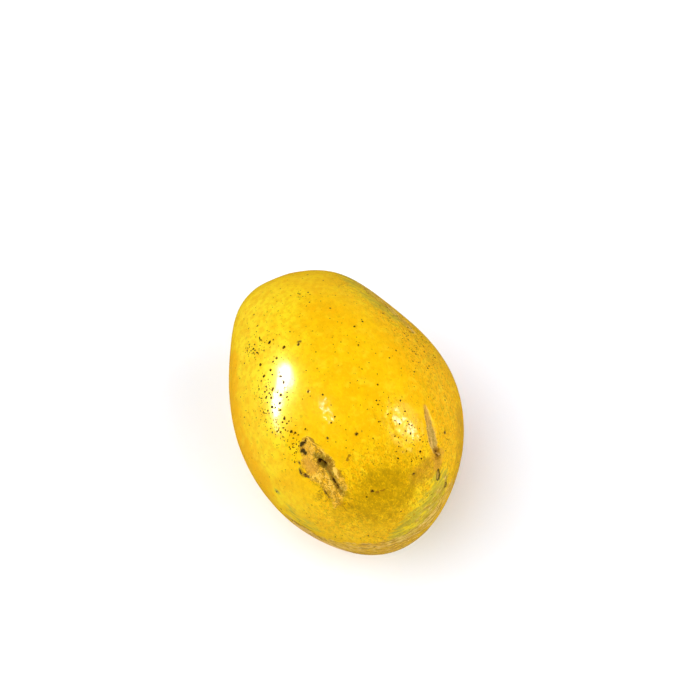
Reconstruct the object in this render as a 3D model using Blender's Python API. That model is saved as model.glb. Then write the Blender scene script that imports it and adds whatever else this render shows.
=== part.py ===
"""A ripe ambarella, lying on its side.

The fruit grew as one piece, so it is one solid: an egg-shaped body with a few broad swells and
flats, the round scar that its stalk left at the stem end, the small point at its tip, and the
healed wounds in its skin. It rests on a small flat spot under its middle, with the stem end
towards +Y and the blunt tip towards -Y. Sizes are in metres.

A place on the skin is given by two angles. "Around" turns about the long axis, from +X at 0 up
over the top at 90 to -X at 180. "Along" is 0 at the waist, 90 at the stem and -90 at the tip.
"""

from functools import cache
from math import cos, exp, radians, sin
from typing import NamedTuple

import bmesh
import bpy
from mathutils import Vector, noise

# The egg
LENGTH = 0.0840
WIDTH = 0.0592
HEIGHT = 0.0580
STEM_TAPER = 0.085  # share of its girth that the stem end loses, and the tip end gains
END_PINCH = 0.048  # share of its girth that both ends lose
REST_SPOT_DEPTH = 0.0006  # how much of the round underside the resting spot takes away

# The scar of the stalk, by its radii from the middle of the scar
STEM_BASIN_RADIUS = 0.0090
STEM_BASIN_DEPTH = 0.0012
STEM_RING_RADIUS = 0.0041
STEM_RING_WIDTH = 0.0006
STEM_RING_HEIGHT = 0.0006
STEM_GROOVE_RADIUS = 0.0031
STEM_GROOVE_WIDTH = 0.0005
STEM_GROOVE_DEPTH = 0.0005
STEM_PIT_RADIUS = 0.0010
STEM_PIT_DEPTH = 0.0013
PUCKER_COUNT = 5
PUCKER_RADIUS = 0.0080
PUCKER_WIDTH = 0.0030
PUCKER_HEIGHT = 0.0002

# The point at the tip, in its dimple
TIP_DIMPLE_RADIUS = 0.0035
TIP_DIMPLE_DEPTH = 0.0004
TIP_POINT_RADIUS = 0.0010
TIP_POINT_HEIGHT = 0.0005

# The edges of the healed wounds wander in and out in steps of about this size
RAGGED_STEP = 0.0028

# The mesh
SPHERE_SUBDIVISIONS = 5
REFINE_PASSES = 3
EDGE_GROWTH = 0.4  # how fast the wanted edge grows with the distance from a fine area
EDGE_SLACK = 1.3  # an edge is halved where it is this many times longer than wanted
STEM_ALONG = 90
TIP_ALONG = -90

# The finish
SKIN_COLOUR = (0.86, 0.49, 0.02, 1.0)
SKIN_ROUGHNESS = 0.32


class Swell(NamedTuple):
    """A broad rise of the body, or a flat where the height is below zero."""

    around: float
    along: float
    height: float
    reach: float


class Stop(NamedTuple):
    """A place that a mark runs through, with the mark's half width there."""

    around: float
    along: float
    radius: float


class Dent(NamedTuple):
    """A mark sunk into the skin along a route, with a soft edge that wanders by its raggedness."""

    route: tuple[Stop, ...]
    depth: float
    edge: float
    ragged: float = 0.0


class FineArea(NamedTuple):
    """A round area of finer mesh, with the length that its edges should have."""

    around: float
    along: float
    radius: float
    edge: float


SWELLS = (
    # The side that faces up
    Swell(around=11, along=-11, height=0.0010, reach=0.010),
    Swell(around=23, along=24, height=-0.0007, reach=0.008),
    Swell(around=32, along=48, height=0.0003, reach=0.005),
    Swell(around=70, along=70, height=-0.0005, reach=0.005),
    Swell(around=152, along=57, height=0.0012, reach=0.0065),
    Swell(around=176, along=26, height=-0.0005, reach=0.010),
    Swell(around=-125, along=-70, height=0.0008, reach=0.008),
    Swell(around=-8, along=-58, height=-0.0009, reach=0.009),
    # The side that faces down
    Swell(around=-60, along=35, height=0.0009, reach=0.011),
    Swell(around=-140, along=20, height=0.0006, reach=0.012),
    Swell(around=-45, along=-30, height=-0.0007, reach=0.011),
    Swell(around=-115, along=55, height=-0.0008, reach=0.009),
)

WOUND = Dent(
    route=(
        Stop(around=128, along=-19, radius=0.0026),
        Stop(around=125, along=-27, radius=0.0042),
        Stop(around=121, along=-37, radius=0.0032),
        Stop(around=127, along=-45, radius=0.0014),
    ),
    depth=0.0004,
    edge=0.0009,
    ragged=0.0016,
)
WOUND_PIT = Dent(route=(Stop(around=122.5, along=-28, radius=0.0008),), depth=0.0013, edge=0.0005)
WOUND_CREASE = Dent(
    route=(
        Stop(around=122.5, along=-29, radius=0.0004),
        Stop(around=122, along=-35, radius=0.0004),
        Stop(around=124, along=-41, radius=0.0003),
    ),
    depth=0.0005,
    edge=0.0006,
    ragged=0.0005,
)
SCRAPE = Dent(
    route=(
        Stop(around=56.5, along=-22, radius=0.0004),
        Stop(around=55.5, along=-30, radius=0.0011),
        Stop(around=54.5, along=-38, radius=0.0013),
        Stop(around=52, along=-44, radius=0.0009),
    ),
    depth=0.0004,
    edge=0.0007,
    ragged=0.0004,
)
SCRAPE_KNOT = Dent(route=(Stop(around=52, along=-43.5, radius=0.0006),), depth=0.0005, edge=0.0006)
SCRAPE_END = Dent(
    route=(
        Stop(around=51, along=-51, radius=0.0006),
        Stop(around=50, along=-54, radius=0.0006),
    ),
    depth=0.0005,
    edge=0.0006,
)
BRUISE = Dent(
    route=(
        Stop(around=-25, along=14, radius=0.0020),
        Stop(around=-18, along=4, radius=0.0034),
        Stop(around=-20, along=-6, radius=0.0015),
    ),
    depth=0.0006,
    edge=0.0020,
    ragged=0.0016,
)
BACK_SCRAPE = Dent(
    route=(
        Stop(around=-152, along=30, radius=0.0010),
        Stop(around=-146, along=20, radius=0.0016),
        Stop(around=-148, along=6, radius=0.0008),
    ),
    depth=0.0004,
    edge=0.0009,
    ragged=0.0010,
)
DENTS = (
    WOUND,
    WOUND_PIT,
    WOUND_CREASE,
    SCRAPE,
    SCRAPE_KNOT,
    SCRAPE_END,
    BRUISE,
    BACK_SCRAPE,
)

FINE_AREAS = (
    FineArea(around=0, along=STEM_ALONG, radius=0.0050, edge=0.0004),
    FineArea(around=0, along=TIP_ALONG, radius=0.0015, edge=0.0006),
    FineArea(around=-90, along=-2, radius=0.0080, edge=0.0014),
    FineArea(around=127, along=-23, radius=0.0040, edge=0.0008),
    FineArea(around=123, along=-30, radius=0.0040, edge=0.0006),
    FineArea(around=123, along=-38, radius=0.0040, edge=0.0007),
    FineArea(around=56, along=-30, radius=0.0025, edge=0.0007),
    FineArea(around=54, along=-40, radius=0.0025, edge=0.0007),
    FineArea(around=50, along=-52, radius=0.0015, edge=0.0007),
    FineArea(around=-21, along=4, radius=0.0050, edge=0.0014),
    FineArea(around=-148, along=18, radius=0.0050, edge=0.0014),
)


def direction(around, along):
    """The unit vector that these two angles stand for."""
    turn, climb = radians(around), radians(along)
    return Vector((cos(climb) * cos(turn), sin(climb), cos(climb) * sin(turn)))


def egg_point(unit):
    """The place on the plain egg that a unit vector stands for."""
    girth = 1 - STEM_TAPER * unit.y - END_PINCH * unit.y**2
    return Vector((WIDTH / 2 * girth * unit.x, LENGTH / 2 * unit.y, HEIGHT / 2 * girth * unit.z))


@cache
def egg_place(around, along):
    """The place on the plain egg that two angles stand for."""
    return egg_point(direction(around, along))


def egg_normal(unit):
    """The way that the egg's skin faces there."""
    return Vector((unit.x / WIDTH, unit.y / LENGTH, unit.z / HEIGHT)).normalized()


def bell(distance, width):
    """1 in the middle, falling smoothly to 0 a few widths away."""
    return exp(-((distance / width) ** 2))


def swell_height(point, swell):
    """What one swell adds at a point of the egg."""
    distance = (point - egg_place(swell.around, swell.along)).length
    return swell.height * exp(-0.5 * (distance / swell.reach) ** 2)


def clearance(point, route):
    """How far a point lies outside a route, or below zero inside it."""
    places = [egg_place(stop.around, stop.along) for stop in route]
    nearest = (point - places[0]).length - route[0].radius
    for k in range(len(route) - 1):
        run = places[k + 1] - places[k]
        share = min(max((point - places[k]).dot(run) / run.length_squared, 0), 1)
        radius = route[k].radius + share * (route[k + 1].radius - route[k].radius)
        nearest = min(nearest, (point - places[k] - share * run).length - radius)
    return nearest


def dent_height(point, dent):
    """What one dent adds at a point of the egg."""
    outside = clearance(point, dent.route) + dent.ragged * noise.noise(point / RAGGED_STEP)
    share = min(max(0.5 - outside / (2 * dent.edge), 0), 1)
    return -dent.depth * share * share * (3 - 2 * share)


def stem_height(point, unit):
    """The scar of the stalk: a ring and a button with a pit, in a basin with low puckers."""
    radius = (point - egg_place(0, STEM_ALONG)).length
    turn = Vector((unit.x, unit.z))
    pucker = 0.0
    if turn.length > 0:
        # The cosine of five times the angle, from the powers of one turn
        turned = complex(*turn.normalized()) ** PUCKER_COUNT
        pucker = PUCKER_HEIGHT * turned.real * bell(radius - PUCKER_RADIUS, PUCKER_WIDTH)
    return (
        pucker
        - STEM_BASIN_DEPTH * bell(radius, STEM_BASIN_RADIUS)
        + STEM_RING_HEIGHT * bell(radius - STEM_RING_RADIUS, STEM_RING_WIDTH)
        - STEM_GROOVE_DEPTH * bell(radius - STEM_GROOVE_RADIUS, STEM_GROOVE_WIDTH)
        - STEM_PIT_DEPTH * bell(radius, STEM_PIT_RADIUS)
    )


def tip_height(point):
    """The small point at the tip, in its dimple."""
    radius = (point - egg_place(0, TIP_ALONG)).length
    return TIP_POINT_HEIGHT * bell(radius, TIP_POINT_RADIUS) - TIP_DIMPLE_DEPTH * bell(
        radius, TIP_DIMPLE_RADIUS
    )


def skin_point(unit):
    """The place on the fruit's skin that a unit vector stands for."""
    point = egg_point(unit)
    height = stem_height(point, unit) + tip_height(point)
    height += sum(swell_height(point, swell) for swell in SWELLS)
    height += sum(dent_height(point, dent) for dent in DENTS)
    return point + height * egg_normal(unit)


def wanted_edge(point):
    """The length that an edge should have at a point of the egg."""
    lengths = []
    for area in FINE_AREAS:
        outside = (point - egg_place(area.around, area.along)).length - area.radius
        lengths.append(area.edge + EDGE_GROWTH * max(outside, 0))
    return min(lengths)


def refine(mesh):
    """Halve the edges that are too long for the detail near them."""
    for _ in range(REFINE_PASSES):
        edges = []
        for edge in mesh.edges:
            ends = [egg_point(vert.co) for vert in edge.verts]
            middle = (ends[0] + ends[1]) / 2
            if (ends[1] - ends[0]).length > EDGE_SLACK * wanted_edge(middle):
                edges.append(edge)
        bmesh.ops.subdivide_edges(mesh, edges=edges, cuts=1, use_grid_fill=True)
        bmesh.ops.triangulate(mesh, faces=mesh.faces[:])
        for vert in mesh.verts:
            vert.co.normalize()


def build_fruit_mesh():
    """The whole fruit as one closed mesh, standing on z = 0 under the middle of its box."""
    mesh = bmesh.new()
    bmesh.ops.create_icosphere(mesh, subdivisions=SPHERE_SUBDIVISIONS, radius=1)
    refine(mesh)
    for vert in mesh.verts:
        vert.co = skin_point(vert.co.copy())
    floor = min(vert.co.z for vert in mesh.verts) + REST_SPOT_DEPTH
    low = [min(vert.co[axis] for vert in mesh.verts) for axis in range(2)]
    high = [max(vert.co[axis] for vert in mesh.verts) for axis in range(2)]
    for vert in mesh.verts:
        vert.co.x -= (low[0] + high[0]) / 2
        vert.co.y -= (low[1] + high[1]) / 2
        vert.co.z = max(vert.co.z - floor, 0)
    data = bpy.data.meshes.new("ambarella_fruit")
    mesh.to_mesh(data)
    mesh.free()
    data.shade_smooth()
    return data


def build_skin_material():
    """Ripe golden skin with a waxy gloss."""
    material = bpy.data.materials.new("ripe_skin")
    material.use_nodes = True
    shader = material.node_tree.nodes["Principled BSDF"]
    shader.inputs["Base Color"].default_value = SKIN_COLOUR
    shader.inputs["Roughness"].default_value = SKIN_ROUGHNESS
    shader.inputs["Metallic"].default_value = 0.0
    return material


def main():
    """Clear the scene and build the fruit."""
    for thing in list(bpy.data.objects):
        bpy.data.objects.remove(thing)
    collection = bpy.data.collections.new("ambarella")
    bpy.context.scene.collection.children.link(collection)
    data = build_fruit_mesh()
    data.materials.append(build_skin_material())
    collection.objects.link(bpy.data.objects.new("ambarella_fruit", data))


main()
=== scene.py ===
"""A ripe ambarella with its finished skin, lying on a plain pale floor.

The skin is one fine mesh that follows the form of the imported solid. It carries the pigments and the
healed marks as its own attributes, and the pores are small raised flecks scattered over it. A place on
the skin is given by two angles. "Around" turns about the long axis, from +X at 0 up over the top at 90
to -X at 180. "Along" is 0 at the waist, 90 at the stem and -90 at the tip. The body's own sizes are in
metres, and those of the washes, the marks and the patterns on its skin are in millimetres.
"""

import logging
from dataclasses import dataclass
from enum import Enum
from math import cos, radians, sin

import bmesh
import bpy
import numpy as np
from mathutils import Matrix, Vector, noise


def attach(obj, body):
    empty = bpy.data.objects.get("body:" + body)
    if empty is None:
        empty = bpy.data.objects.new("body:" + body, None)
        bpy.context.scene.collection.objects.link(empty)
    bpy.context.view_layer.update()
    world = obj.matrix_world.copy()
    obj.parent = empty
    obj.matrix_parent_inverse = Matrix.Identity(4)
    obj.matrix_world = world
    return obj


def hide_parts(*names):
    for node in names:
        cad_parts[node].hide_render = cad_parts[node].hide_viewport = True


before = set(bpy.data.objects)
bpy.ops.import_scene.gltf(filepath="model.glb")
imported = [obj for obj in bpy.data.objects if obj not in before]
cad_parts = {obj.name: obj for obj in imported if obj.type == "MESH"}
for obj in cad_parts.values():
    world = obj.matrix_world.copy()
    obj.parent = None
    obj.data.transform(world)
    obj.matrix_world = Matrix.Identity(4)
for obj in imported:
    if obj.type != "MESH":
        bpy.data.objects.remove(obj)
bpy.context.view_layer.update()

CAD_NODE = "ambarella_fruit"
BODY = "root"
MM = 0.001
STEM_ALONG = 90.0
TIP_ALONG = -90.0
# Where the egg's own middle lies once the fruit stands on the floor
EGG_MIDDLE = (-0.00038, 0.00058, 0.028516)

# How far outside a mark its distance is still told apart, in millimetres
FARTHEST = 9.0
# How patterns on the skin are stretched: not at all, along the fruit, and round its edges to the tip
EVEN = (1.0, 1.0, 1.0)
LENGTHWISE = (1.35, 0.65, 1.35)
ALONG_EDGES = (0.35, 0.35, 1.7)

Colour = tuple[float, float, float]
Place = tuple[float, float, float]
Stop = tuple[float, float, float]

log = logging.getLogger("ambarella")


class Tint(Enum):
    """The washes that fade out softly: pigments, painted shade in and round the marks, and how the skin
    varies in its pores and its peel.
    """

    LEMON = "lemon"
    ORANGE = "orange"
    GREEN = "green"
    OLIVE = "olive"
    BRONZE = "bronze"
    MAUVE = "mauve"
    BLUSH = "blush"
    # Painted shade in the wound's pit and crease and along the scrape
    PAINTED_SHADE = "painted_shade"
    PINK = "pink"
    STAIN = "stain"
    STROKES = "strokes"
    COARSE = "coarse"
    GRAINY = "grainy"
    DARK_PORES = "dark_pores"
    FAINT_PORES = "faint_pores"
    GOLD_DOTS = "gold_dots"


class Mark(Enum):
    """The marks with a clear edge, for which the skin holds the distance to that edge."""

    CORK = "cork"
    RUSSET = "russet"
    SCRAPE = "scrape"
    SCAB = "scab"
    LINE = "line"
    MAROON = "maroon"
    FLAKE = "flake"
    KNOT = "knot"


class Gauge(Enum):
    """What else the skin carries: the distance from its stem, and where it is bare of marks."""

    STEM = "stem_distance"
    BARE = "bare_skin"


Fields = dict[Tint | Mark | Gauge, np.ndarray]


@dataclass(frozen=True)
class Egg:
    """The plain egg that everything on the fruit is placed on."""

    length: float = 0.0840
    width: float = 0.0592
    height: float = 0.0580
    stem_taper: float = 0.085
    end_pinch: float = 0.048

    def place(self, units: np.ndarray) -> np.ndarray:
        """Find the places that unit vectors stand for.

        Args:
            units: Unit vectors, one a row.

        Returns:
            The places on the egg, one a row.
        """
        girth = 1 - self.stem_taper * units[:, 1] - self.end_pinch * units[:, 1] ** 2
        half = np.array([self.width, self.length, self.height]) / 2
        return units * half * np.stack([girth, np.ones_like(girth), girth], axis=1)

    def facing(self, units: np.ndarray) -> np.ndarray:
        """Find the way that the egg's skin faces.

        Args:
            units: Unit vectors, one a row.

        Returns:
            The outward unit normals, one a row.
        """
        normals = units / np.array([self.width, self.length, self.height])
        return normals / np.linalg.norm(normals, axis=1, keepdims=True)

    def spot(self, around: float, along: float) -> np.ndarray:
        """Find one place on the egg.

        Args:
            around: The angle about the long axis, in degrees.
            along: The angle from the waist towards the stem, in degrees.

        Returns:
            The place.
        """
        turn, climb = radians(around), radians(along)
        unit = np.array([[cos(climb) * cos(turn), sin(climb), cos(climb) * sin(turn)]])
        return self.place(unit)[0]


EGG = Egg()


def smooth_step(share: np.ndarray) -> np.ndarray:
    """Ease shares from 0 to 1, which are clipped first.

    Args:
        share: The shares.

    Returns:
        The eased shares.
    """
    share = np.clip(share, 0, 1)
    return share * share * (3 - 2 * share)


def bell(distance: np.ndarray, width: float) -> np.ndarray:
    """Fall smoothly from 1 at no distance to 0 a few widths away.

    Args:
        distance: The distances.
        width: The bell's width.

    Returns:
        The bell's heights.
    """
    return np.exp(-((distance / width) ** 2))


def grain(points: np.ndarray, step: float, where: np.ndarray | None = None) -> np.ndarray:
    """Read one layer of even noise.

    Args:
        points: The places, one a row.
        step: The size of the noise's lumps.
        where: The places that need it. The others get 0.

    Returns:
        Values from about -1 to 1.
    """
    values = np.zeros(len(points))
    rows = np.arange(len(points)) if where is None else np.nonzero(where)[0]
    values[rows] = [noise.noise(Vector(place)) for place in points[rows] / step]
    return values


@dataclass(frozen=True)
class Route:
    """A tapering stroke through stops, each of them around, along and the half width there."""

    stops: tuple[Stop, ...]

    def clearance(self, points: np.ndarray) -> np.ndarray:
        """Measure how far points lie outside the stroke.

        Args:
            points: Places on the plain egg, one a row.

        Returns:
            The distances to the stroke's edge in metres, below zero inside it.
        """
        places = [EGG.spot(around, along) for around, along, _ in self.stops]
        widths = [radius * MM for _, _, radius in self.stops]
        nearest = np.linalg.norm(points - places[0], axis=1) - widths[0]
        for k in range(len(places) - 1):
            run = places[k + 1] - places[k]
            share = np.clip((points - places[k]) @ run / (run @ run), 0, 1)
            radius = widths[k] + share * (widths[k + 1] - widths[k])
            gap = np.linalg.norm(points - places[k] - share[:, None] * run, axis=1) - radius
            nearest = np.minimum(nearest, gap)
        return nearest


def route(*stops: Stop) -> Route:
    """Return the route through stops."""
    return Route(stops)


@dataclass(frozen=True)
class Swell:
    """A broad rise of the body, or a flat where the height is below zero."""

    around: float
    along: float
    height: float
    reach: float

    def rise(self, points: np.ndarray) -> np.ndarray:
        """Return the height that the swell adds at each point of the egg."""
        distance = np.linalg.norm(points - EGG.spot(self.around, self.along), axis=1)
        return self.height * np.exp(-0.5 * (distance / self.reach) ** 2)


@dataclass(frozen=True)
class Dent:
    """A mark sunk into the skin along a route, with a soft edge that wanders by its raggedness."""

    route: Route
    depth: float
    edge: float
    ragged: float = 0.0
    ragged_step: float = 0.0028

    def rise(self, points: np.ndarray) -> np.ndarray:
        """Shape the dent.

        Args:
            points: Places on the plain egg, one a row.

        Returns:
            The heights that it adds, at or below zero.
        """
        outside = self.route.clearance(points)
        if self.ragged:
            near = outside < 2 * self.ragged + self.edge
            outside = outside + self.ragged * grain(points, self.ragged_step, near)
        return -self.depth * smooth_step(0.5 - outside / (2 * self.edge))


SWELLS = (
    Swell(around=11, along=-11, height=0.0010, reach=0.010),
    Swell(around=23, along=24, height=-0.0007, reach=0.008),
    Swell(around=32, along=48, height=0.0003, reach=0.005),
    Swell(around=70, along=70, height=-0.0005, reach=0.005),
    Swell(around=152, along=57, height=0.0012, reach=0.0065),
    Swell(around=176, along=26, height=-0.0005, reach=0.010),
    Swell(around=-125, along=-70, height=0.0008, reach=0.008),
    Swell(around=-8, along=-58, height=-0.0009, reach=0.009),
    Swell(around=-60, along=35, height=0.0009, reach=0.011),
    Swell(around=-140, along=20, height=0.0006, reach=0.012),
    Swell(around=-45, along=-30, height=-0.0007, reach=0.011),
    Swell(around=-115, along=55, height=-0.0008, reach=0.009),
)

WOUND = route((128, -19, 2.6), (125, -27, 4.2), (121, -37, 3.2), (127, -45, 1.4))
WOUND_PIT = route((124.2, -28.2, 0.7), (123.2, -30.2, 0.7))
WOUND_CREASE = route((123, -31, 0.4), (123.2, -35, 0.3), (125.1, -41, 0.3))
SCRAPE = route((55.8, -23.5, -0.6), (55.2, -28, 0.3), (54.2, -34, 0.9), (52.6, -42, 1))
SCRAPE_KNOT = route((51, -43.5, 0.5))
SCRAPE_END = route((49.4, -51.5, 0.4), (48.6, -54, 0.6))
BRUISE = route((-25, 14, 2), (-18, 4, 3.4), (-20, -6, 1.5))
BACK_SCRAPE = route((-152, 30, 1), (-146, 20, 1.6), (-148, 6, 0.8))

DENTS = (
    Dent(WOUND, depth=0.0004, edge=0.0009, ragged=0.0016),
    Dent(WOUND_PIT, depth=0.0013, edge=0.0005),
    Dent(WOUND_CREASE, depth=0.0005, edge=0.0006, ragged=0.0005),
    Dent(SCRAPE, depth=0.0004, edge=0.0007, ragged=0.0004),
    Dent(SCRAPE_KNOT, depth=0.0005, edge=0.0006),
    Dent(SCRAPE_END, depth=0.0005, edge=0.0006),
    Dent(BRUISE, depth=0.0006, edge=0.0026, ragged=0.0012),
    Dent(BACK_SCRAPE, depth=0.0003, edge=0.0012, ragged=0.0010),
)


@dataclass(frozen=True)
class Wash:
    """A soft patch along a route: full inside, and gone one softness outside it."""

    strength: float
    softness: float
    route: Route

    def amount(self, points: np.ndarray) -> np.ndarray:
        """Return how strong the wash is at each point of the egg."""
        return self.strength * smooth_step(1 - self.route.clearance(points) / (self.softness * MM))


def wash(strength: float, softness: float, *stops: Stop) -> Wash:
    """Return the wash of a strength and a softness along the route through stops."""
    return Wash(strength, softness, Route(stops))


WASHES: dict[Tint, tuple[Wash, ...]] = {
    # The broad colours of the side that faces up
    Tint.LEMON: (
        wash(1, 16, (124, 36, 6), (133, 18, 5)),
        wash(0.6, 10, (148, 2, 4), (152, -12, 4)),
        wash(0.5, 10, (92, 50, 4)),
        wash(0.7, 7, (70, -62, 3), (56, -58, 2)),
        wash(0.5, 6, (60, 30, 3), (56, 20, 2)),
        wash(0.6, 6, (165, -32, 3), (172, -38, 2)),
    ),
    Tint.ORANGE: (
        wash(0.9, 16, (38, 5, 4), (40, -28, 4)),
        wash(0.45, 12, (84, -14, 4), (95, -30, 3)),
        wash(0.45, 10, (78, 24, 4)),
        # The deeper orange along the left edge is a painted reflection of a dark neighbouring fruit
        wash(1.3, 9, (168, 26, 3), (174, 8, 3), (172, -12, 2)),
    ),
    # Green that hasn't ripened yet
    Tint.GREEN: (
        wash(0.8, 6, (30, 44, 2), (42, 34, 1.5), (44, 24, 1.2), (42, 14, 0.4)),
        wash(1.25, 5.6, (43, -57, 0.6), (46, -66, 1.8), (62, -75, 2.4), (104, -80, 1)),
        wash(0.6, 3.5, (168, -33, 0.6), (172, -38, 0.8), (168, -45, 0.4)),
        wash(0.9, 1.4, (163, -25.2, 0.2)),
        wash(0.9, 10, (-120, 66, 4), (-60, 72, 3)),
        wash(0.9, 12, (-130, 25, 3), (-118, -8, 3)),
        wash(0.8, 10, (-70, -40, 3), (-100, -62, 2)),
    ),
    Tint.OLIVE: (
        wash(0.9, 6, (102, -49, 1.5), (93, -52, 2.6), (88, -54, 1)),
        wash(0.7, 6, (120, -54, 1), (106, -57, 1.5)),
    ),
    Tint.BRONZE: (
        wash(0.6, 9, (109, -50, 2), (100, -52, 4), (106, -62, 4)),
        wash(0.5, 8, (84, -42, 2), (80, -48, 3)),
        wash(0.6, 5, (122, -49, 1), (136, -50, 1)),
    ),
    Tint.MAUVE: (
        wash(0.8, 3, (56, -47, 0.8), (64, -49.5, 1.4), (74, -52, 0.5)),
        wash(0.6, 1.6, (52, -46.8, 0.6), (51, -49, 0.4)),
        wash(0.7, 5, (22, -28, 0.8), (17, -42, 1.4), (14, -54, 1)),
    ),
    # The side that lay in the sun
    Tint.BLUSH: (
        wash(1, 14, (-30, -8, 8), (-50, 18, 6)),
    ),
    # Painted shade in and round the marks: in the wound's pit, along its crease and along the scrape
    Tint.PAINTED_SHADE: (
        wash(0.9, 0.8, (124.2, -28.4, 0.6), (123.4, -30.2, 0.6)),
        wash(0.65, 1.4, (123.8, -25.8, 0.4), (120.6, -29.6, 0.7), (120.6, -31.8, 0.4)),
        wash(0.7, 1.1, (122.6, -31.4, 0.5), (123, -34.3, 0.3), (124.1, -36.8, 0.3)),
        wash(0.6, 1, (124.3, -37.5, 0.3), (125.1, -40.3, 0.3), (125, -42.4, 0.4)),
        wash(0.45, 1.2, (123.4, -41.5, 0.5), (124.6, -44.2, 0.5)),
        wash(0.4, 1, (54.6, -31, 0.1), (53.6, -36.5, 0.3), (52.8, -41, 0.3)),
    ),
    Tint.PINK: (
        wash(0.9, 0.8, (56.2, -25.2, 0.3), (56, -31, 0.6)),
        wash(1, 1.4, (131.3, -26.2, 0.9), (130.3, -28.5, 0.9)),
        wash(0.6, 1, (127, -20.5, 0.6), (126, -23.5, 0.6)),
        wash(0.9, 1.6, (48, -43.5, 0.6), (51, -47, 0.9), (52, -49, 0.4)),
        wash(0.7, 1.2, (56.5, -43.5, 0.4), (54, -46, 0.4)),
    ),
    Tint.STAIN: (
        wash(0.9, 1, (119.8, -29.6, 0.4), (120.3, -32, 0.6)),
        wash(1, 1.2, (118.3, -35.8, 0.1), (118.4, -36.8, 0.2)),
        wash(0.6, 1.4, (128.5, -20.5, 0.5), (129.5, -22.5, 0.2)),
        wash(0.45, 1.6, (127, -29, 0.6), (126, -32, 0.6)),
        wash(1, 1.1, (132.9, -39, 0.3)),
        wash(0.8, 1, (136.2, -26.6, 0.4), (137, -28.8, 0.3)),
        wash(0.7, 1, (133.5, -46, 0.2), (130, -47, 0.2)),
        wash(0.6, 1.6, (140, -38.5, 0.4), (136.6, -38.5, 0.3)),
        wash(0.6, 0.9, (135.5, -33, 0.1), (132.6, -36.6, 0.1), (134.6, -42.5, 0.2)),
        wash(0.8, 0.5, (57.2, -26.5, 0.1), (57.9, -33.5, 0.1), (57.4, -40, 0.1)),
        wash(1.3, 1.3, (52.2, -42.6, 0.6), (51.2, -44.4, 0.7)),
        wash(0.5, 1.2, (50.4, -46.5, 0.4), (49, -50.5, 0.3)),
        wash(0.35, 1.8, (60, -47.6, 0.4), (68, -49.8, 0.6), (76, -51, 0.3)),
        wash(0.9, 0.9, (-176, -31, 0.2), (179, -38, 0.3), (176, -45, 0.2)),
        wash(0.5, 1.2, (41, 38, 0.3), (43, 24, 0.3), (42, 10, 0.2), (36, -8, 0.2)),
    ),
    # Fine strokes, along the edges and round the tip
    Tint.STROKES: (
        wash(1, 2.6,
            (-178, -34, 0.4), (-173, -45, 1.4), (-172, -56, 2.6), (-176, -68, 3.2), (172, -79, 2.4),
            (90, -86, 1.6), (34, -80, 1.4), (24, -69, 1.4), (19, -58, 0.9),
        ),
        wash(0.8, 4, (-150, -70, 3), (-90, -76, 3), (-30, -74, 2)),
        wash(0.35, 3, (38, -57, 1), (44, -66, 1.6), (60, -76, 1.4)),
        wash(0.75, 2.2, (36, 36, 0.8), (38, 25, 1), (38, 14, 0.6), (37, 6, 0.2)),
    ),
    # Where the peel is coarse or grainy
    Tint.COARSE: (
        wash(0.8, 5, (77, -24, 2), (73, -32, 3.4), (71, -38, 2)),
        wash(0.9, 3, (104.5, -11.5, 0.8), (107.5, -16.5, 1.2), (110, -23, 0.8)),
        wash(0.5, 12, (60, -70, 4), (20, -55, 4)),
    ),
    Tint.GRAINY: (
        wash(1, 10, (130, -51, 3), (95, -52, 7), (60, -60, 6), (100, -78, 6)),
        wash(0.9, 10, (40, 34, 3), (38, 16, 4), (36, 2, 3)),
        wash(0.6, 12, (34, -8, 4), (34, -28, 4), (36, -50, 4)),
        wash(0.6, 6, (76, -26, 2), (70, -38, 3)),
        wash(0.5, 6, (152, -45, 2), (165, -55, 3)),
    ),
    # Where the pores and the pale dots are
    Tint.DARK_PORES: (
        wash(1, 4, (133, 5, 0.8), (134, -3, 1.6), (131, -12, 1.4)),
        wash(1, 3, (131, -15, 1), (128, -20, 1), (134, -20, 1)),
        wash(0.8, 3, (133, 25, 1), (124, 22, 0.8)),
        wash(0.5, 2, (90, 34, 0.6), (92, 38, 0.6)),
        wash(0.3, 6, (42, -3, 3), (36, 20, 2)),
        wash(0.4, 4, (76, -25, 2), (71, -38, 2)),
    ),
    Tint.FAINT_PORES: (
        wash(1, 10, (40, -20, 6), (35, 15, 4)),
        wash(1, 10, (95, -50, 6), (70, -60, 4)),
        wash(0.8, 10, (128, 15, 6), (134, -10, 4)),
    ),
    Tint.GOLD_DOTS: (
        wash(1, 10, (-30, -10, 9), (-48, 18, 7)),
    ),
}

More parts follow.
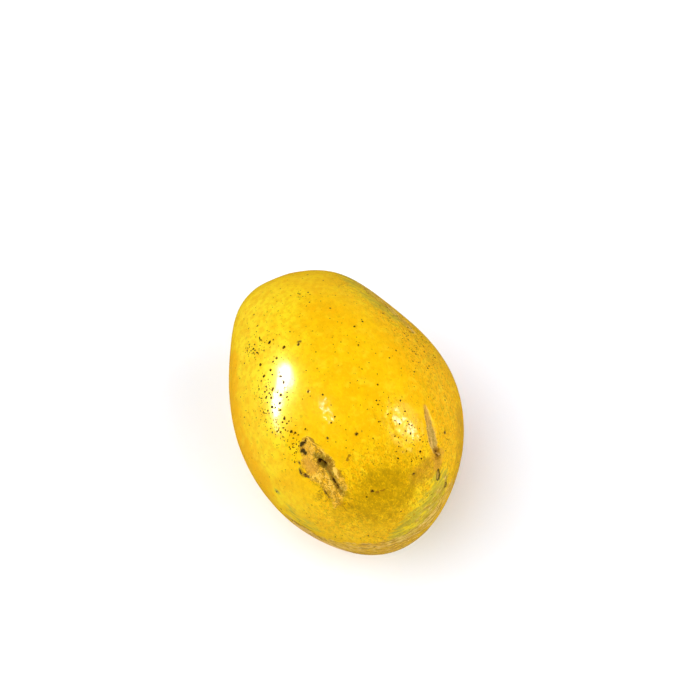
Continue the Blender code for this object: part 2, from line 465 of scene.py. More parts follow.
MARKS: dict[Mark, tuple[Route, ...]] = {
    # The healed wound, and a long scrape on the side that faces down
    Mark.CORK: (
        route(
            (124, -19.5, 1.2), (125, -22.5, 2.4), (126, -26, 3.4), (126, -30, 4.1), (125.5, -34.5, 3.2),
            (125.3, -40, 2.6), (131, -44, 1.3), (136.6, -45.6, 0.3),
        ),
        route((-155, 32, 0.4), (-152, 30, 1), (-146, 20, 1.6), (-148, 6, 0.8)),
    ),
    # Smooth tan russet, mostly on the side that faces down
    Mark.RUSSET: (
        route((-172, -40, 3), (-155, -52, 5), (-120, -48, 3), (-105, -35, 1.5)),
        route((-160, -18, 1.5), (-150, -30, 3)),
        route((20, 42, 2), (5, 50, 4), (-25, 58, 5), (-60, 50, 3)),
        route((8, 26, 1.5), (14, 34, 2)),
        route((165, 66, 3), (-160, 60, 4.5), (-150, 48, 3)),
        route((-25, 14, 1.6), (-18, 4, 3), (-20, -6, 1.2)),
    ),
    Mark.SCRAPE: (
        route(
            (56.2, -25.2, 0.2), (56.1, -27.2, 0.7), (56, -30.4, 1), (55.6, -34.4, 1.3), (54.9, -38, 1.6),
            (53.6, -41.4, 1.3),
        ),
    ),
    # Black-brown crusts in the wound and under the scrape, then flecks and cracks of their own
    Mark.SCAB: (
        route((128.2, -19.6, 0.3), (127, -19.2, 0.5), (125.2, -19.6, 0.2), (124.2, -18.9, 0.2)),
        route((129.8, -21.2, 0.3), (128.8, -21.3, 0.5), (128.4, -22.8, 0.4)),
        route((125.2, -28.3, 0.2), (124.4, -27.9, 0.3), (123.4, -28.4, 0.3)),
        route((123.4, -28.6, 0.2), (122.7, -29.4, 0.4), (123, -30.4, 0.2)),
        route((123.9, -36.1, 0.1), (124.2, -37.2, 0.3), (124.5, -38.4, 0.1)),
        route((124.9, -39.8, 0.3), (125.2, -40.8, 0.1)),
        route((134.3, -23.8, 0.2), (134.5, -24.6, 0.1)),
        route((136.7, -26, 0.1), (137.7, -27.5, 0.3)),
        route((133, -37.8, 0.1), (134, -41.2, 0.1)),
        route((52.6, -42.4, 0.05), (51.6, -42.8, 0.2)),
        route((51.9, -43.9, 0.1), (51.2, -44.6, 0.2)),
        route((107, -48.8, 0.3), (106.2, -49.3, 0.1)),
        route((99, -26.5, 0.3)),
        route((95.7, -26.5, 0.1)),
        route((110.7, -4.8, 0.3)),
        route((113.3, -22.8, 0.2)),
        route((43.3, -35.8, 0.3)),
        route((105, 13.3, 0.3), (104.4, 14.4, 0.1), (103.4, 14.2, 0.2)),
        route((74, -49.5, 0.2)),
        route((163, -25.2, 0.2)),
        route((136.6, -28.6, 0.2), (135.6, -28.9, 0.2)),
    ),
    # Fine brown lines along the wound and out of its lower end, and small red-brown cracks
    Mark.LINE: (
        route((105, -50.2, 0.2), (103.8, -50.5, 0.3)),
        route((102, -50.2, 0.2), (100.8, -50.8, 0.2), (99, -50.9, 0.2)),
        route((107.7, -32.2, 0.3), (108.9, -32.5, 0.1), (110, -33.2, 0.4)),
        route((122.2, -18.2, 0.1), (120.8, -20.2, 0.3), (120.4, -22, 0.2), (118.7, -24, 0.1)),
        route((122.4, -21, 0.1), (121.2, -22.6, 0.2), (121.4, -24.6, 0.1), (120.2, -26.4, 0.2)),
        route((122.7, -31.6, 0.3), (123, -33.8, 0.3), (123.9, -36, 0.2)),
        route((124.3, -37.6, 0.2), (125, -40.2, 0.2), (125.1, -42.4, 0.1)),
        route((133.6, -37.2, 0.1), (137.4, -36.9, 0.05)),
        route((133.8, -39.4, 0.1), (140, -39.2, 0.05)),
        route((134.4, -41.2, 0.1), (139, -41.8, 0.05)),
        route((131, -46.2, 0.1), (132, -49.8, 0.05)),
        route((127.2, -47.6, 0.1), (126.6, -50.6, 0.05)),
        route((123.4, -46.4, 0.1), (120.8, -48.2, 0.05)),
    ),
    Mark.MAROON: (
        route((136, -29.2, 0.5), (135.2, -30.2, 0.4)),
    ),
    Mark.FLAKE: (
        route((119.5, -33.2, 0.2), (119.9, -34.6, 0.5), (121, -37.4, 0.1)),
    ),
    Mark.KNOT: (
        route((50, -50.8, 0.4), (49.2, -52.4, 0.6), (48.6, -54, 0.6)),
        route((34.5, -56.5, 0.4), (34, -57.6, 0.4)),
    ),
}
FINE_MARKS = tuple(mark for mark in Mark if mark is not Mark.RUSSET)

# The sizes that a pore can have
LARGE = 0.34
MIDDLING = 0.25
SMALL = 0.17
# The pores that show best, one by one: how far across and down the photograph, in pixels, and the size
PORE_PIXELS: tuple[tuple[float, float, float], ...] = (
    (257.5, 326.6, MIDDLING), (254.5, 335.3, SMALL), (259.7, 338.2, MIDDLING), (260.3, 340.8, MIDDLING),
    (269.8, 342.9, LARGE), (248.9, 342.2, SMALL), (249.5, 345.2, MIDDLING), (255.1, 345.1, MIDDLING),
    (253.4, 349.4, LARGE), (247.6, 351.3, MIDDLING), (245.7, 353, SMALL), (246.1, 348.5, SMALL),
    (284.4, 347.8, LARGE), (276.7, 358.4, LARGE), (273.4, 362.5, MIDDLING), (274.5, 364.4, SMALL),
    (261, 365.4, LARGE), (264.9, 358.1, SMALL), (255.1, 358.1, SMALL), (244.8, 364, MIDDLING),
    (271.1, 370.5, LARGE), (272.2, 374.8, MIDDLING), (280.1, 372.9, MIDDLING), (281, 376.9, LARGE),
    (284, 382.3, LARGE), (285, 388.1, MIDDLING), (287.2, 392.6, MIDDLING), (287.2, 397.1, MIDDLING),
    (281, 395.6, LARGE), (272.8, 389.6, LARGE), (264.2, 376.9, LARGE), (268.5, 380.5, SMALL),
    (270.4, 382.5, SMALL), (269.3, 386.4, SMALL), (266.1, 386.8, MIDDLING), (267.2, 390.7, MIDDLING),
    (269.3, 393.3, MIDDLING), (271.5, 398.3, LARGE), (266.8, 397.1, MIDDLING), (294.6, 380.5, MIDDLING),
    (322.5, 395, MIDDLING), (305.8, 370.5, SMALL), (308.1, 293.2, MIDDLING), (309.4, 302.6, MIDDLING),
    (306.4, 306.9, SMALL), (280.4, 289.5, SMALL), (290.4, 296.2, SMALL), (320.6, 301.6, SMALL),
    (329.9, 319.2, SMALL), (312.6, 331.5, SMALL), (340.4, 342.5, SMALL), (272.1, 407.1, LARGE),
    (273.2, 412.4, MIDDLING), (267.6, 402.9, MIDDLING), (268.1, 410.8, MIDDLING), (280, 403.2, LARGE),
    (284.5, 418.7, LARGE), (286.9, 423.9, MIDDLING), (291.5, 431.3, LARGE), (295.5, 432.7, MIDDLING),
    (277.4, 431.8, MIDDLING), (285.5, 429.2, SMALL), (283.9, 437.1, SMALL), (284.7, 440.8, SMALL),
    (305.5, 429.2, MIDDLING), (295.7, 444.5, MIDDLING), (249.2, 425.5, SMALL), (291.3, 417.9, SMALL),
    (331.3, 422.6, MIDDLING), (330.8, 405.5, SMALL), (335.2, 417.1, MIDDLING), (346, 440.2, SMALL),
    (345.8, 448, SMALL), (396.3, 451.8, SMALL), (397.6, 457.8, MIDDLING), (444.2, 400.3, MIDDLING),
    (431, 494, SMALL), (422.6, 501.8, SMALL), (400.5, 510.8, MIDDLING), (403.2, 414.5, SMALL),
    (394.2, 420.8, SMALL), (399, 423.6, MIDDLING), (407.4, 421.3, MIDDLING), (410, 433.4, MIDDLING),
    (405.8, 440.3, MIDDLING), (412.6, 444.5, SMALL), (423.2, 435, SMALL), (419, 428.7, SMALL),
    (390.5, 413.4, SMALL), (388.9, 358.4, MIDDLING), (415.3, 354.8, MIDDLING), (427, 368.5, MIDDLING),
    (428.6, 366.5, MIDDLING), (432.6, 364.9, SMALL), (414, 372.2, MIDDLING), (377, 374.8, SMALL),
    (377, 384.7, MIDDLING), (383, 392.4, SMALL), (368.4, 362.9, SMALL), (409.4, 332.4, MIDDLING),
    (411, 333.6, SMALL), (418.8, 339.5, SMALL), (422.2, 340.8, MIDDLING), (408.9, 348.9, SMALL),
    (396, 351.1, MIDDLING), (354.2, 327.2, MIDDLING), (362.4, 321.8, MIDDLING), (361.4, 320, SMALL),
    (382.6, 314.1, MIDDLING), (375.3, 353.7, SMALL), (367.6, 294.3, MIDDLING), (366.2, 292.6, SMALL),
    (364.5, 289.5, MIDDLING), (396.8, 317.1, MIDDLING), (398, 318.6, SMALL), (439.9, 364.4, SMALL),
    (442, 385.5, SMALL),
)


@dataclass(frozen=True)
class PhotoEye:
    """Where the photograph was taken from, to find what place on the fruit one of its pixels shows."""

    around: float = -25.1
    up: float = 65.0
    distance: float = 0.3968
    aim_right: float = 0.00257
    aim_up: float = 0.01514
    lens: float = 75.0
    sensor: float = 36.0
    pixels: float = 700.0
    swells: tuple[Swell, ...] = SWELLS[:8]
    steps_around: int = 1080
    steps_along: int = 540
    least_facing: float = 0.02

    def sphere(self) -> np.ndarray:
        """Return unit vectors spread evenly in both angles, one a row."""
        polar = (np.arange(self.steps_along) + 0.5) * np.pi / self.steps_along
        turn = np.arange(self.steps_around) * 2 * np.pi / self.steps_around
        polar, turn = np.meshgrid(polar, turn, indexing="ij")
        flat = np.sin(polar)
        return np.stack([flat * np.cos(turn), np.cos(polar), flat * np.sin(turn)], axis=-1).reshape(-1, 3)

    def angles(self, pixels: np.ndarray) -> tuple[np.ndarray, np.ndarray]:
        """Find the places that pixels show.

        Args:
            pixels: How far across and down the photograph, one a row.

        Returns:
            The angles around and along, in degrees and to a tenth.
        """
        turn, climb = radians(self.around), radians(self.up)
        back = np.array([sin(turn) * cos(climb), -cos(turn) * cos(climb), sin(climb)])
        right = np.array([cos(turn), sin(turn), 0])
        over = np.cross(back, right)
        eye = right * self.aim_right + over * self.aim_up + back * self.distance
        units = self.sphere()
        points, facing = EGG.place(units), EGG.facing(units)
        places = points + sum(swell.rise(points) for swell in self.swells)[:, None] * facing
        away = places - eye
        turned = -np.sum(facing * away, axis=1) / np.linalg.norm(away, axis=1)
        seen = turned > self.least_facing
        units, away = units[seen], away[seen]
        scale = self.lens / self.sensor * self.pixels / -(away @ back)
        across = self.pixels / 2 + scale * (away @ right)
        down = self.pixels / 2 - scale * (away @ over)
        shown = units[[np.argmin((across - x) ** 2 + (down - y) ** 2) for x, y in pixels]]
        around = np.degrees(np.arctan2(shown[:, 2], shown[:, 0]))
        return np.round(around, 1), np.round(np.degrees(np.arcsin(shown[:, 1])), 1)


@dataclass(frozen=True)
class Ring:
    """A rounded ring about one end of the fruit, or a mound or a dip where its radius is 0."""

    height: float
    width: float
    radius: float = 0.0

    def rise(self, distance: np.ndarray) -> np.ndarray:
        """Return the height that the ring adds at each distance from its middle."""
        return self.height * bell(distance - self.radius, self.width)


@dataclass(frozen=True)
class FruitForm:
    """The body of the fruit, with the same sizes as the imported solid, and the fine relief of its skin."""

    pucker: Ring = Ring(0.0002, width=0.0030, radius=0.0080)
    pucker_count: int = 5
    # The basin, the ring, the groove and the pit of the stalk's scar
    stem_rings: tuple[Ring, ...] = (
        Ring(-0.0012, width=0.0090),
        Ring(0.0006, width=0.0006, radius=0.0041),
        Ring(-0.0005, width=0.0005, radius=0.0031),
        Ring(-0.0013, width=0.0010),
    )
    stem_crumbs: Ring = Ring(0.00022, width=0.0041)
    stem_crumb_step: float = 0.0009
    # The small point at the tip and its dimple
    tip_rings: tuple[Ring, ...] = (
        Ring(0.0005, width=0.0010),
        Ring(-0.0004, width=0.0035),
    )
    peel_height: float = 0.00002
    peel_step: float = 0.0026
    coarse_peel_height: float = 0.00016
    coarse_peel_step: float = 0.0010
    crumb_height: float = 0.00020
    crumb_step: float = 0.0009
    fine_crumb_share: float = 0.5
    fine_crumb_step: float = 0.0009 / 2.2
    callus_height: float = 0.00008
    callus_width: float = 0.0005
    scrape_callus_height: float = 0.000024
    scab_depth: float = 0.00012
    flake_height: float = 0.00025
    russet_depth: float = 0.00004
    # How far from the marks and from the stem the skin is bare, in millimetres
    bare_margin: float = 0.4
    bare_from_stem: float = 6.0
    bare_fade: float = 2.0

    def stem_radius(self, points: np.ndarray) -> np.ndarray:
        """Return each point's distance from the middle of the stalk's scar."""
        return np.linalg.norm(points - EGG.spot(0, STEM_ALONG), axis=1)

    def stem_height(self, points: np.ndarray, units: np.ndarray) -> np.ndarray:
        """Shape the stalk's scar: a ring and a button with a pit, in a basin with low puckers.

        Args:
            points: Places on the plain egg, one a row.
            units: The unit vectors that they stand for.

        Returns:
            The heights that it adds.
        """
        radius = self.stem_radius(points)
        turn = np.arctan2(units[:, 2], units[:, 0])
        height = np.cos(self.pucker_count * turn) * self.pucker.rise(radius)
        height = height + sum(ring.rise(radius) for ring in self.stem_rings)
        crumbs = grain(points, self.stem_crumb_step, radius < 2 * self.stem_crumbs.width)
        return height + crumbs * self.stem_crumbs.rise(radius)

    def tip_height(self, points: np.ndarray) -> np.ndarray:
        """Return the height of the small point at the tip, in its dimple."""
        radius = np.linalg.norm(points - EGG.spot(0, TIP_ALONG), axis=1)
        return sum(ring.rise(radius) for ring in self.tip_rings)

    def fine_relief(self, points: np.ndarray, fields: Fields) -> np.ndarray:
        """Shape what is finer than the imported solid: peel, crumbs, calluses, crusts and the flake.

        Args:
            points: Places on the plain egg, one a row.
            fields: The skin's own fields.

        Returns:
            The heights that it adds.
        """
        cork = fields[Mark.CORK] * MM
        in_cork = smooth_step(-cork / (2 * self.callus_width))
        near_cork = cork < 3 * self.callus_width
        crumbs = grain(points, self.crumb_step, near_cork)
        crumbs = crumbs + self.fine_crumb_share * grain(points, self.fine_crumb_step, near_cork)
        scrape = fields[Mark.SCRAPE] * MM
        scab = fields[Mark.SCAB] * MM
        flake = fields[Mark.FLAKE] * MM
        peel = self.peel_height * grain(points, self.peel_step)
        coarse = fields[Tint.COARSE]
        peel = peel + self.coarse_peel_height * coarse * grain(points, self.coarse_peel_step, coarse > 0)
        return (
            peel
            + self.crumb_height * crumbs * in_cork
            + self.callus_height * bell(cork - self.callus_width / 2, self.callus_width)
            + self.scrape_callus_height * bell(scrape - self.callus_width / 2, self.callus_width)
            - self.scab_depth * smooth_step(0.5 - scab / self.callus_width)
            + self.flake_height * smooth_step(0.5 - flake / (0.5 * self.callus_width))
            - self.russet_depth * smooth_step(0.5 - fields[Mark.RUSSET] * MM / self.callus_width)
        )

    def skin(self, units: np.ndarray, fields: Fields) -> np.ndarray:
        """Shape the skin of the fruit as it stands on z = 0.

        Args:
            units: Unit vectors, one a row.
            fields: The skin's own fields.

        Returns:
            The places on the skin, one a row.
        """
        points = EGG.place(units)
        height = self.stem_height(points, units) + self.tip_height(points)
        height = height + self.fine_relief(points, fields)
        for shape in SWELLS + DENTS:
            height = height + shape.rise(points)
        places = points + height[:, None] * EGG.facing(units)
        places += np.array(EGG_MIDDLE)
        places[:, 2] = np.maximum(places[:, 2], 0)
        return places


def skin_fields(units: np.ndarray, form: FruitForm) -> Fields:
    """Work out what the skin carries: washes from 0 to about 1, and distances in millimetres.

    Args:
        units: Unit vectors, one a row.
        form: The fruit's form.

    Returns:
        The fields.
    """
    points = EGG.place(units)
    fields = {tint: np.max([one.amount(points) for one in WASHES[tint]], axis=0) for tint in Tint}
    for mark in Mark:
        gaps = [one.clearance(points) for one in MARKS[mark]]
        fields[mark] = np.clip(np.min(gaps, axis=0) / MM, -FARTHEST, FARTHEST)
    fields[Gauge.STEM] = form.stem_radius(points) / MM
    bare = smooth_step(fields[Mark.CORK] / form.bare_margin)
    bare = bare * smooth_step(fields[Mark.SCRAPE] / form.bare_margin)
    bare = bare * smooth_step((fields[Gauge.STEM] - form.bare_from_stem) / form.bare_fade)
    for tint in (Tint.DARK_PORES, Tint.FAINT_PORES, Tint.GOLD_DOTS):
        fields[tint] = fields[tint] * bare
    fields[Gauge.BARE] = bare
    return fields


class Value:
    """A number or a colour in a material's tree, with the sums that the finishes do on it."""

    def __init__(self, graph: "Graph", socket: bpy.types.NodeSocket) -> None:
        """Hold the output of one of the graph's nodes."""
        self.graph = graph
        self.socket = socket

    def __add__(self, other: "Source") -> "Value":
        """Return the sum."""
        return self.graph.maths("ADD", self, other)

    def __sub__(self, other: "Source") -> "Value":
        """Return the difference."""
        return self.graph.maths("SUBTRACT", self, other)

    def __mul__(self, other: "Source") -> "Value":
        """Return the product."""
        return self.graph.maths("MULTIPLY", self, other)

    def __abs__(self) -> "Value":
        """Return the number without its sign."""
        return self.graph.maths("ABSOLUTE", self, 0)

    def ease(self, start: float, end: float) -> "Value":
        """Ease from 0 to 1 between two values of the number, or back if they are turned round.

        Args:
            start: Where the result is 0.
            end: Where the result is 1.

        Returns:
            The eased share.
        """
        rising = start < end
        node = self.graph.tree.nodes.new("ShaderNodeMapRange")
        node.interpolation_type = "SMOOTHSTEP"
        self.graph.feed(node.inputs["Value"], self)
        node.inputs["From Min"].default_value = min(start, end)
        node.inputs["From Max"].default_value = max(start, end)
        node.inputs["To Min"].default_value = 0 if rising else 1
        node.inputs["To Max"].default_value = 1 if rising else 0
        return Value(self.graph, node.outputs["Result"])


Source = Value | float | Colour


class Graph:
    """A material's node tree, with short calls for the nodes that the finishes use."""

    def __init__(self, name: str) -> None:
        """Start a material with a Principled shader.

        Args:
            name: The material's name.
        """
        self.material = bpy.data.materials.new(name)
        self.material.use_nodes = True
        self.tree = self.material.node_tree
        self.shader = self.tree.nodes["Principled BSDF"]
        self.colour: Source = (1.0, 1.0, 1.0)

    def feed(self, socket: bpy.types.NodeSocket, value: Source) -> None:
        """Link a socket to another node's output, or set its own value.

        Args:
            socket: The input.
            value: An output, a number or a colour.
        """
        if isinstance(value, Value):
            self.tree.links.new(value.socket, socket)
        elif isinstance(value, tuple) and socket.type == "RGBA":
            socket.default_value = (*value, 1.0)
        else:
            socket.default_value = value

    def finish(self, **sockets: Source) -> None:
        """Feed the Principled shader's sockets, named with _ for each space."""
        for name, value in sockets.items():
            self.feed(self.shader.inputs[name.replace("_", " ")], value)

    def field(self, field: Tint | Mark | Gauge) -> Value:
        """Read one of the skin's own fields.

        Args:
            field: The field.

        Returns:
            Its value in each place.
        """
        node = self.tree.nodes.new("ShaderNodeAttribute")
        node.attribute_name = field.value
        return Value(self, node.outputs["Fac"])

    def maths(self, operation: str, first: Source, second: Source) -> Value:
        """Do one sum on numbers.

        Args:
            operation: Blender's name for it.
            first: The first number.
            second: The second number.

        Returns:
            The result.
        """
        node = self.tree.nodes.new("ShaderNodeMath")
        node.operation = operation
        self.feed(node.inputs[0], first)
        self.feed(node.inputs[1], second)
        return Value(self, node.outputs[0])

    def blend(self, share: Source, below: Source, above: Source) -> Value:
        """Lay one colour over another.

        Args:
            share: How much of the upper colour shows.
            below: The lower colour.
            above: The upper colour.

        Returns:
            The mixed colour.
        """
        node = self.tree.nodes.new("ShaderNodeMix")
        node.data_type = "RGBA"
        sockets = {socket.identifier: socket for socket in node.inputs}
        self.feed(sockets["Factor_Float"], share)
        self.feed(sockets["A_Color"], below)
        self.feed(sockets["B_Color"], above)
        return Value(self, next(socket for socket in node.outputs if socket.identifier == "Result_Color"))

    def lay(self, share: Source, above: Source) -> None:
        """Lay another colour over the material's own colour so far."""
        self.colour = self.blend(share, self.colour, above)

    def millimetres(self, shift: Place = (0, 0, 0), stretch: Place = EVEN) -> bpy.types.NodeSocket:
        """Give the place on the piece in millimetres.

        Args:
            shift: How far the pattern is moved, so that two patterns differ.
            stretch: How much each axis is stretched.

        Returns:
            The place.
        """
        node = self.tree.nodes.new("ShaderNodeMapping")
        node.inputs["Scale"].default_value = tuple(value / MM for value in stretch)
        node.inputs["Location"].default_value = shift
        place = self.tree.nodes.new("ShaderNodeTexCoord").outputs["Object"]
        self.tree.links.new(place, node.inputs["Vector"])
        return node.outputs[0]

    def sideways(self) -> Value:
        """Return how far towards +X the place lies, in millimetres."""
        node = self.tree.nodes.new("ShaderNodeSeparateXYZ")
        self.tree.links.new(self.millimetres(), node.inputs[0])
        return Value(self, node.outputs[0])

    def noise(
        self, size: float, detail: float = 3, shift: Place = (0, 0, 0), stretch: Place = EVEN
    ) -> Value:
        """Read a cloudy noise.

        Args:
            size: The size of its lumps in millimetres.
            detail: How many finer layers it has.
            shift: How far it is moved, in millimetres.
            stretch: How much each axis is stretched.

        Returns:
            Values about 0.5.
        """
        node = self.tree.nodes.new("ShaderNodeTexNoise")
        node.inputs["Scale"].default_value = 1 / size
        node.inputs["Detail"].default_value = detail
        self.tree.links.new(self.millimetres(shift, stretch), node.inputs["Vector"])
        return Value(self, node.outputs["Fac"])

    def cells(self, size: float, shift: Place) -> tuple[Value, Value]:
        """Read scattered points.

        Args:
            size: How far apart they are in millimetres.
            shift: How far they are moved, in millimetres.

        Returns:
            The distance to the nearest point as a share of that size, and a random number for it.
        """
        node = self.tree.nodes.new("ShaderNodeTexVoronoi")
        node.inputs["Scale"].default_value = 1 / size
        self.tree.links.new(self.millimetres(shift), node.inputs["Vector"])
        split = self.tree.nodes.new("ShaderNodeSeparateColor")
        self.tree.links.new(node.outputs["Color"], split.inputs[0])
        return Value(self, node.outputs["Distance"]), Value(self, split.outputs[0])


@dataclass(frozen=True)
class Mottle:
    """One layer of spots or streaks in the peel, where a noise of its own rises past its start."""

    colour: Colour
    size: float
    start: float
    end: float
    most: float
    shift: Place
    stretch: Place = EVEN
    detail: float = 3
    grainy: float = 0

    def lay(self, graph: Graph, share: Value) -> None:
        """Lay the layer over a material's colour.

        Args:
            graph: The material's graph, whose colour is changed.
            share: How much of the layer shows in each place.
        """
        spots = graph.noise(self.size, self.detail, self.shift, self.stretch)
        graph.lay(spots.ease(self.start, self.end) * share, self.colour)


@dataclass(frozen=True)
class SkinFinish:
    """Ripe waxy skin with its pigments, its healed marks and the stalk's scar."""

    name: str = "ripe_ambarella_skin"
    gold: Colour = (0.95, 0.56, 0.0025)
    deep_gold: Colour = (0.84, 0.43, 0.001)
    lemon: Colour = (0.95, 0.71, 0.012)
    orange: Colour = (0.93, 0.455, 0.0010)
    pale: Colour = (0.99, 0.67, 0.018)
    rust: Colour = (0.50, 0.21, 0.002)
    moss: Colour = (0.50, 0.34, 0.004)
    green: Colour = (0.54, 0.44, 0.034)
    deep_green: Colour = (0.34, 0.29, 0.020)
    olive: Colour = (0.48, 0.27, 0.0015)
    umber: Colour = (0.33, 0.185, 0.002)
    bronze: Colour = (0.72, 0.39, 0.0015)
    mauve: Colour = (0.56, 0.27, 0.02)
    blush: Colour = (0.78, 0.26, 0.006)
    tan: Colour = (0.50, 0.29, 0.055)
    pale_tan: Colour = (0.70, 0.45, 0.11)
    band: Colour = (0.74, 0.45, 0.075)
    band_dark: Colour = (0.28, 0.13, 0.018)
    band_pale: Colour = (0.96, 0.66, 0.20)
    brown: Colour = (0.16, 0.045, 0.003)
    cork: Colour = (0.70, 0.365, 0.018)
    cork_light: Colour = (0.86, 0.50, 0.040)
    cork_pink: Colour = (0.68, 0.32, 0.032)
    # The grey-green painted shade in the wound's pit and crease and along the scrape
    painted_shade: Colour = (0.13, 0.088, 0.006)
    stain: Colour = (0.27, 0.110, 0.005)
    strip: Colour = (0.56, 0.345, 0.066)
    strip_pale: Colour = (0.76, 0.48, 0.13)
    knot: Colour = (0.36, 0.22, 0.05)
    crust: Colour = (0.022, 0.007, 0.0005)
    maroon: Colour = (0.085, 0.020, 0.012)
    cream: Colour = (0.92, 0.57, 0.085)
    gloss: float = 0.27
    dull_roughness: float = 0.60
    wax: float = 0.35
    wax_roughness: float = 0.12
    shine: float = 0.5
    shine_tint: Colour = (1.0, 0.88, 0.12)
    peel_bump: float = 0.008
    coarse_bump: float = 0.11
    crumb_bump: float = 0.22

    def ragged(self, graph: Graph, field: Mark | Gauge, size: float, reach: float) -> Value:
        """Read a distance whose zero wanders.

        Args:
            graph: The material's graph.
            field: The distance's field.
            size: The size of the wander's lumps, in millimetres.
            reach: How far it wanders each way, in millimetres.

        Returns:
            The distance, in millimetres.
        """
        return graph.field(field) + (graph.noise(size) - 0.5) * (4 * reach)

    def ground(self, graph: Graph) -> None:
        """Mix the gold, lemon and orange of the ripe peel, with its cloudy and its fine mottling.

        Args:
            graph: The material's graph, whose colour is changed.
        """
        lemon = graph.field(Tint.LEMON) + (graph.noise(14) - 0.5) * 1.6
        graph.colour = self.gold
        graph.lay(lemon.ease(0, 1), self.lemon)
        middle = graph.noise(4, 4, shift=(31, 7, 3)) - 0.5
        orange = graph.field(Tint.ORANGE) + middle * 2.3 + 0.1
        graph.lay(orange.ease(0, 1.1), self.orange)
        grainy = graph.field(Tint.GRAINY)
        for layer in (
            Mottle(self.deep_gold, 4.2, 0.46, 0.64, most=0.38, grainy=0.20, shift=(0, 50, 9)),
            Mottle(self.pale, 2.6, 0.52, 0.68, most=0.45, grainy=0.10, shift=(19, 43, 32)),
            Mottle(self.deep_gold, 1.6, 0.46, 0.62, most=0.52, grainy=0.40, shift=(38, 36, 55)),
            Mottle(self.moss, 1.1, 0.49, 0.62, 0.05, (57, 29, 78), LENGTHWISE, grainy=0.60),
            Mottle(self.rust, 0.55, 0.50, 0.66, 0.12, (76, 22, 101), LENGTHWISE, detail=2, grainy=0.65),
            Mottle(self.pale, 0.50, 0.54, 0.68, 0.24, (95, 15, 124), LENGTHWISE, detail=1, grainy=0.60),
        ):
            layer.lay(graph, grainy * layer.grainy + layer.most)

    def washes(self, graph: Graph) -> None:
        """Lay the darker pigments over the ground, each with a cloudy edge.

        Args:
            graph: The material's graph, whose colour is changed.
        """
        wander = (graph.noise(2.2, 5, shift=(70, 20, 1)) - 0.5) * 1.9
        streak = (graph.noise(1.2, 4, shift=(5, 5, 5), stretch=ALONG_EDGES) - 0.5) * 2.6
        for tint, above, most in (
            (Tint.BRONZE, self.bronze, 0.85),
            (Tint.OLIVE, self.olive, 0.72),
            (Tint.BLUSH, self.blush, 0.72),
            (Tint.GREEN, self.green, 0.85),
            (Tint.MAUVE, self.mauve, 0.70),
            (Tint.PINK, self.cork_pink, 0.65),
        ):
            field = graph.field(tint)
            edge = wander + streak if tint is Tint.GREEN else wander
            share = (field + edge * 0.9).ease(0.05, 1.05) * field.ease(0, 0.5) * most
            graph.lay(share, above)
        green = graph.field(Tint.GREEN)
        dull = graph.field(Tint.OLIVE) + graph.field(Tint.BRONZE) * 0.6 + graph.field(Tint.MAUVE) * 0.8
        dull = (dull + green * 0.35).ease(0.05, 0.9)
        for layer in (
            Mottle(self.umber, 2.8, 0.50, 0.62, 0.35, (63, 9, 5), LENGTHWISE),
            Mottle(self.umber, 1.3, 0.50, 0.62, 0.40, (3, 9, 5), LENGTHWISE),
            Mottle(self.umber, 0.55, 0.50, 0.62, 0.42, (23, 9, 5), LENGTHWISE),
            Mottle(self.gold, 0.60, 0.55, 0.67, 0.50, (43, 9, 5), LENGTHWISE),
        ):
            layer.lay(graph, dull * layer.most)
        green = green.ease(0.2, 0.8)
        graph.lay(green * streak.ease(0.10, 0.45) * 0.75, self.deep_green)
        graph.lay(green * streak.ease(-0.10, -0.40) * 0.60, self.lemon)

    def freckles(self, graph: Graph) -> None:
        """Paint the many faint pores that lie in the peel.

        Args:
            graph: The material's graph, whose colour is changed.
        """
        speck = graph.blend(graph.sideways().ease(-12, 6), self.moss, self.rust)
        share = (graph.field(Tint.FAINT_PORES) * 0.5 + 0.5) * graph.field(Gauge.BARE)
        for apart, shift, most in (
            (0.9, (5, 5, 5), 0.35),
            (1.6, (90, 3, 40), 0.50),
            (2.9, (9, 33, 4), 0.60),
        ):
            distance, random = graph.cells(apart, shift)
            dot = (distance - (random * 0.13 + 0.04)).ease(0.05, -0.05)
            graph.lay(dot * share * most, speck)

    def strokes(self, graph: Graph) -> None:
        """Lay the tan skin with fine cream and brown strokes that runs along the edges to the tip.

        Args:
            graph: The material's graph, whose colour is changed.
        """
        field = graph.field(Tint.STROKES)
        field = field + (graph.noise(1.8, shift=(2, 8, 61)) - 0.5) * field.ease(0, 0.3) * 2
        graph.lay(field.ease(0.2, 0.9) * 0.60, self.band)
        for layer in (
            Mottle(self.band_pale, 1.9, 0.53, 0.60, 0.38, (0, 0, 7), ALONG_EDGES),
            Mottle(self.rust, 1.3, 0.50, 0.57, 0.50, (20, 0, 7), ALONG_EDGES),
            Mottle(self.band_dark, 1.0, 0.55, 0.62, 0.65, (40, 0, 7), ALONG_EDGES),
            Mottle(self.band_pale, 0.6, 0.58, 0.65, 0.70, (60, 0, 7), ALONG_EDGES),
            Mottle(self.band_dark, 0.5, 0.56, 0.63, 0.65, (80, 0, 7), ALONG_EDGES),
        ):
            layer.lay(graph, field.ease(0.05, 0.7) * layer.most)

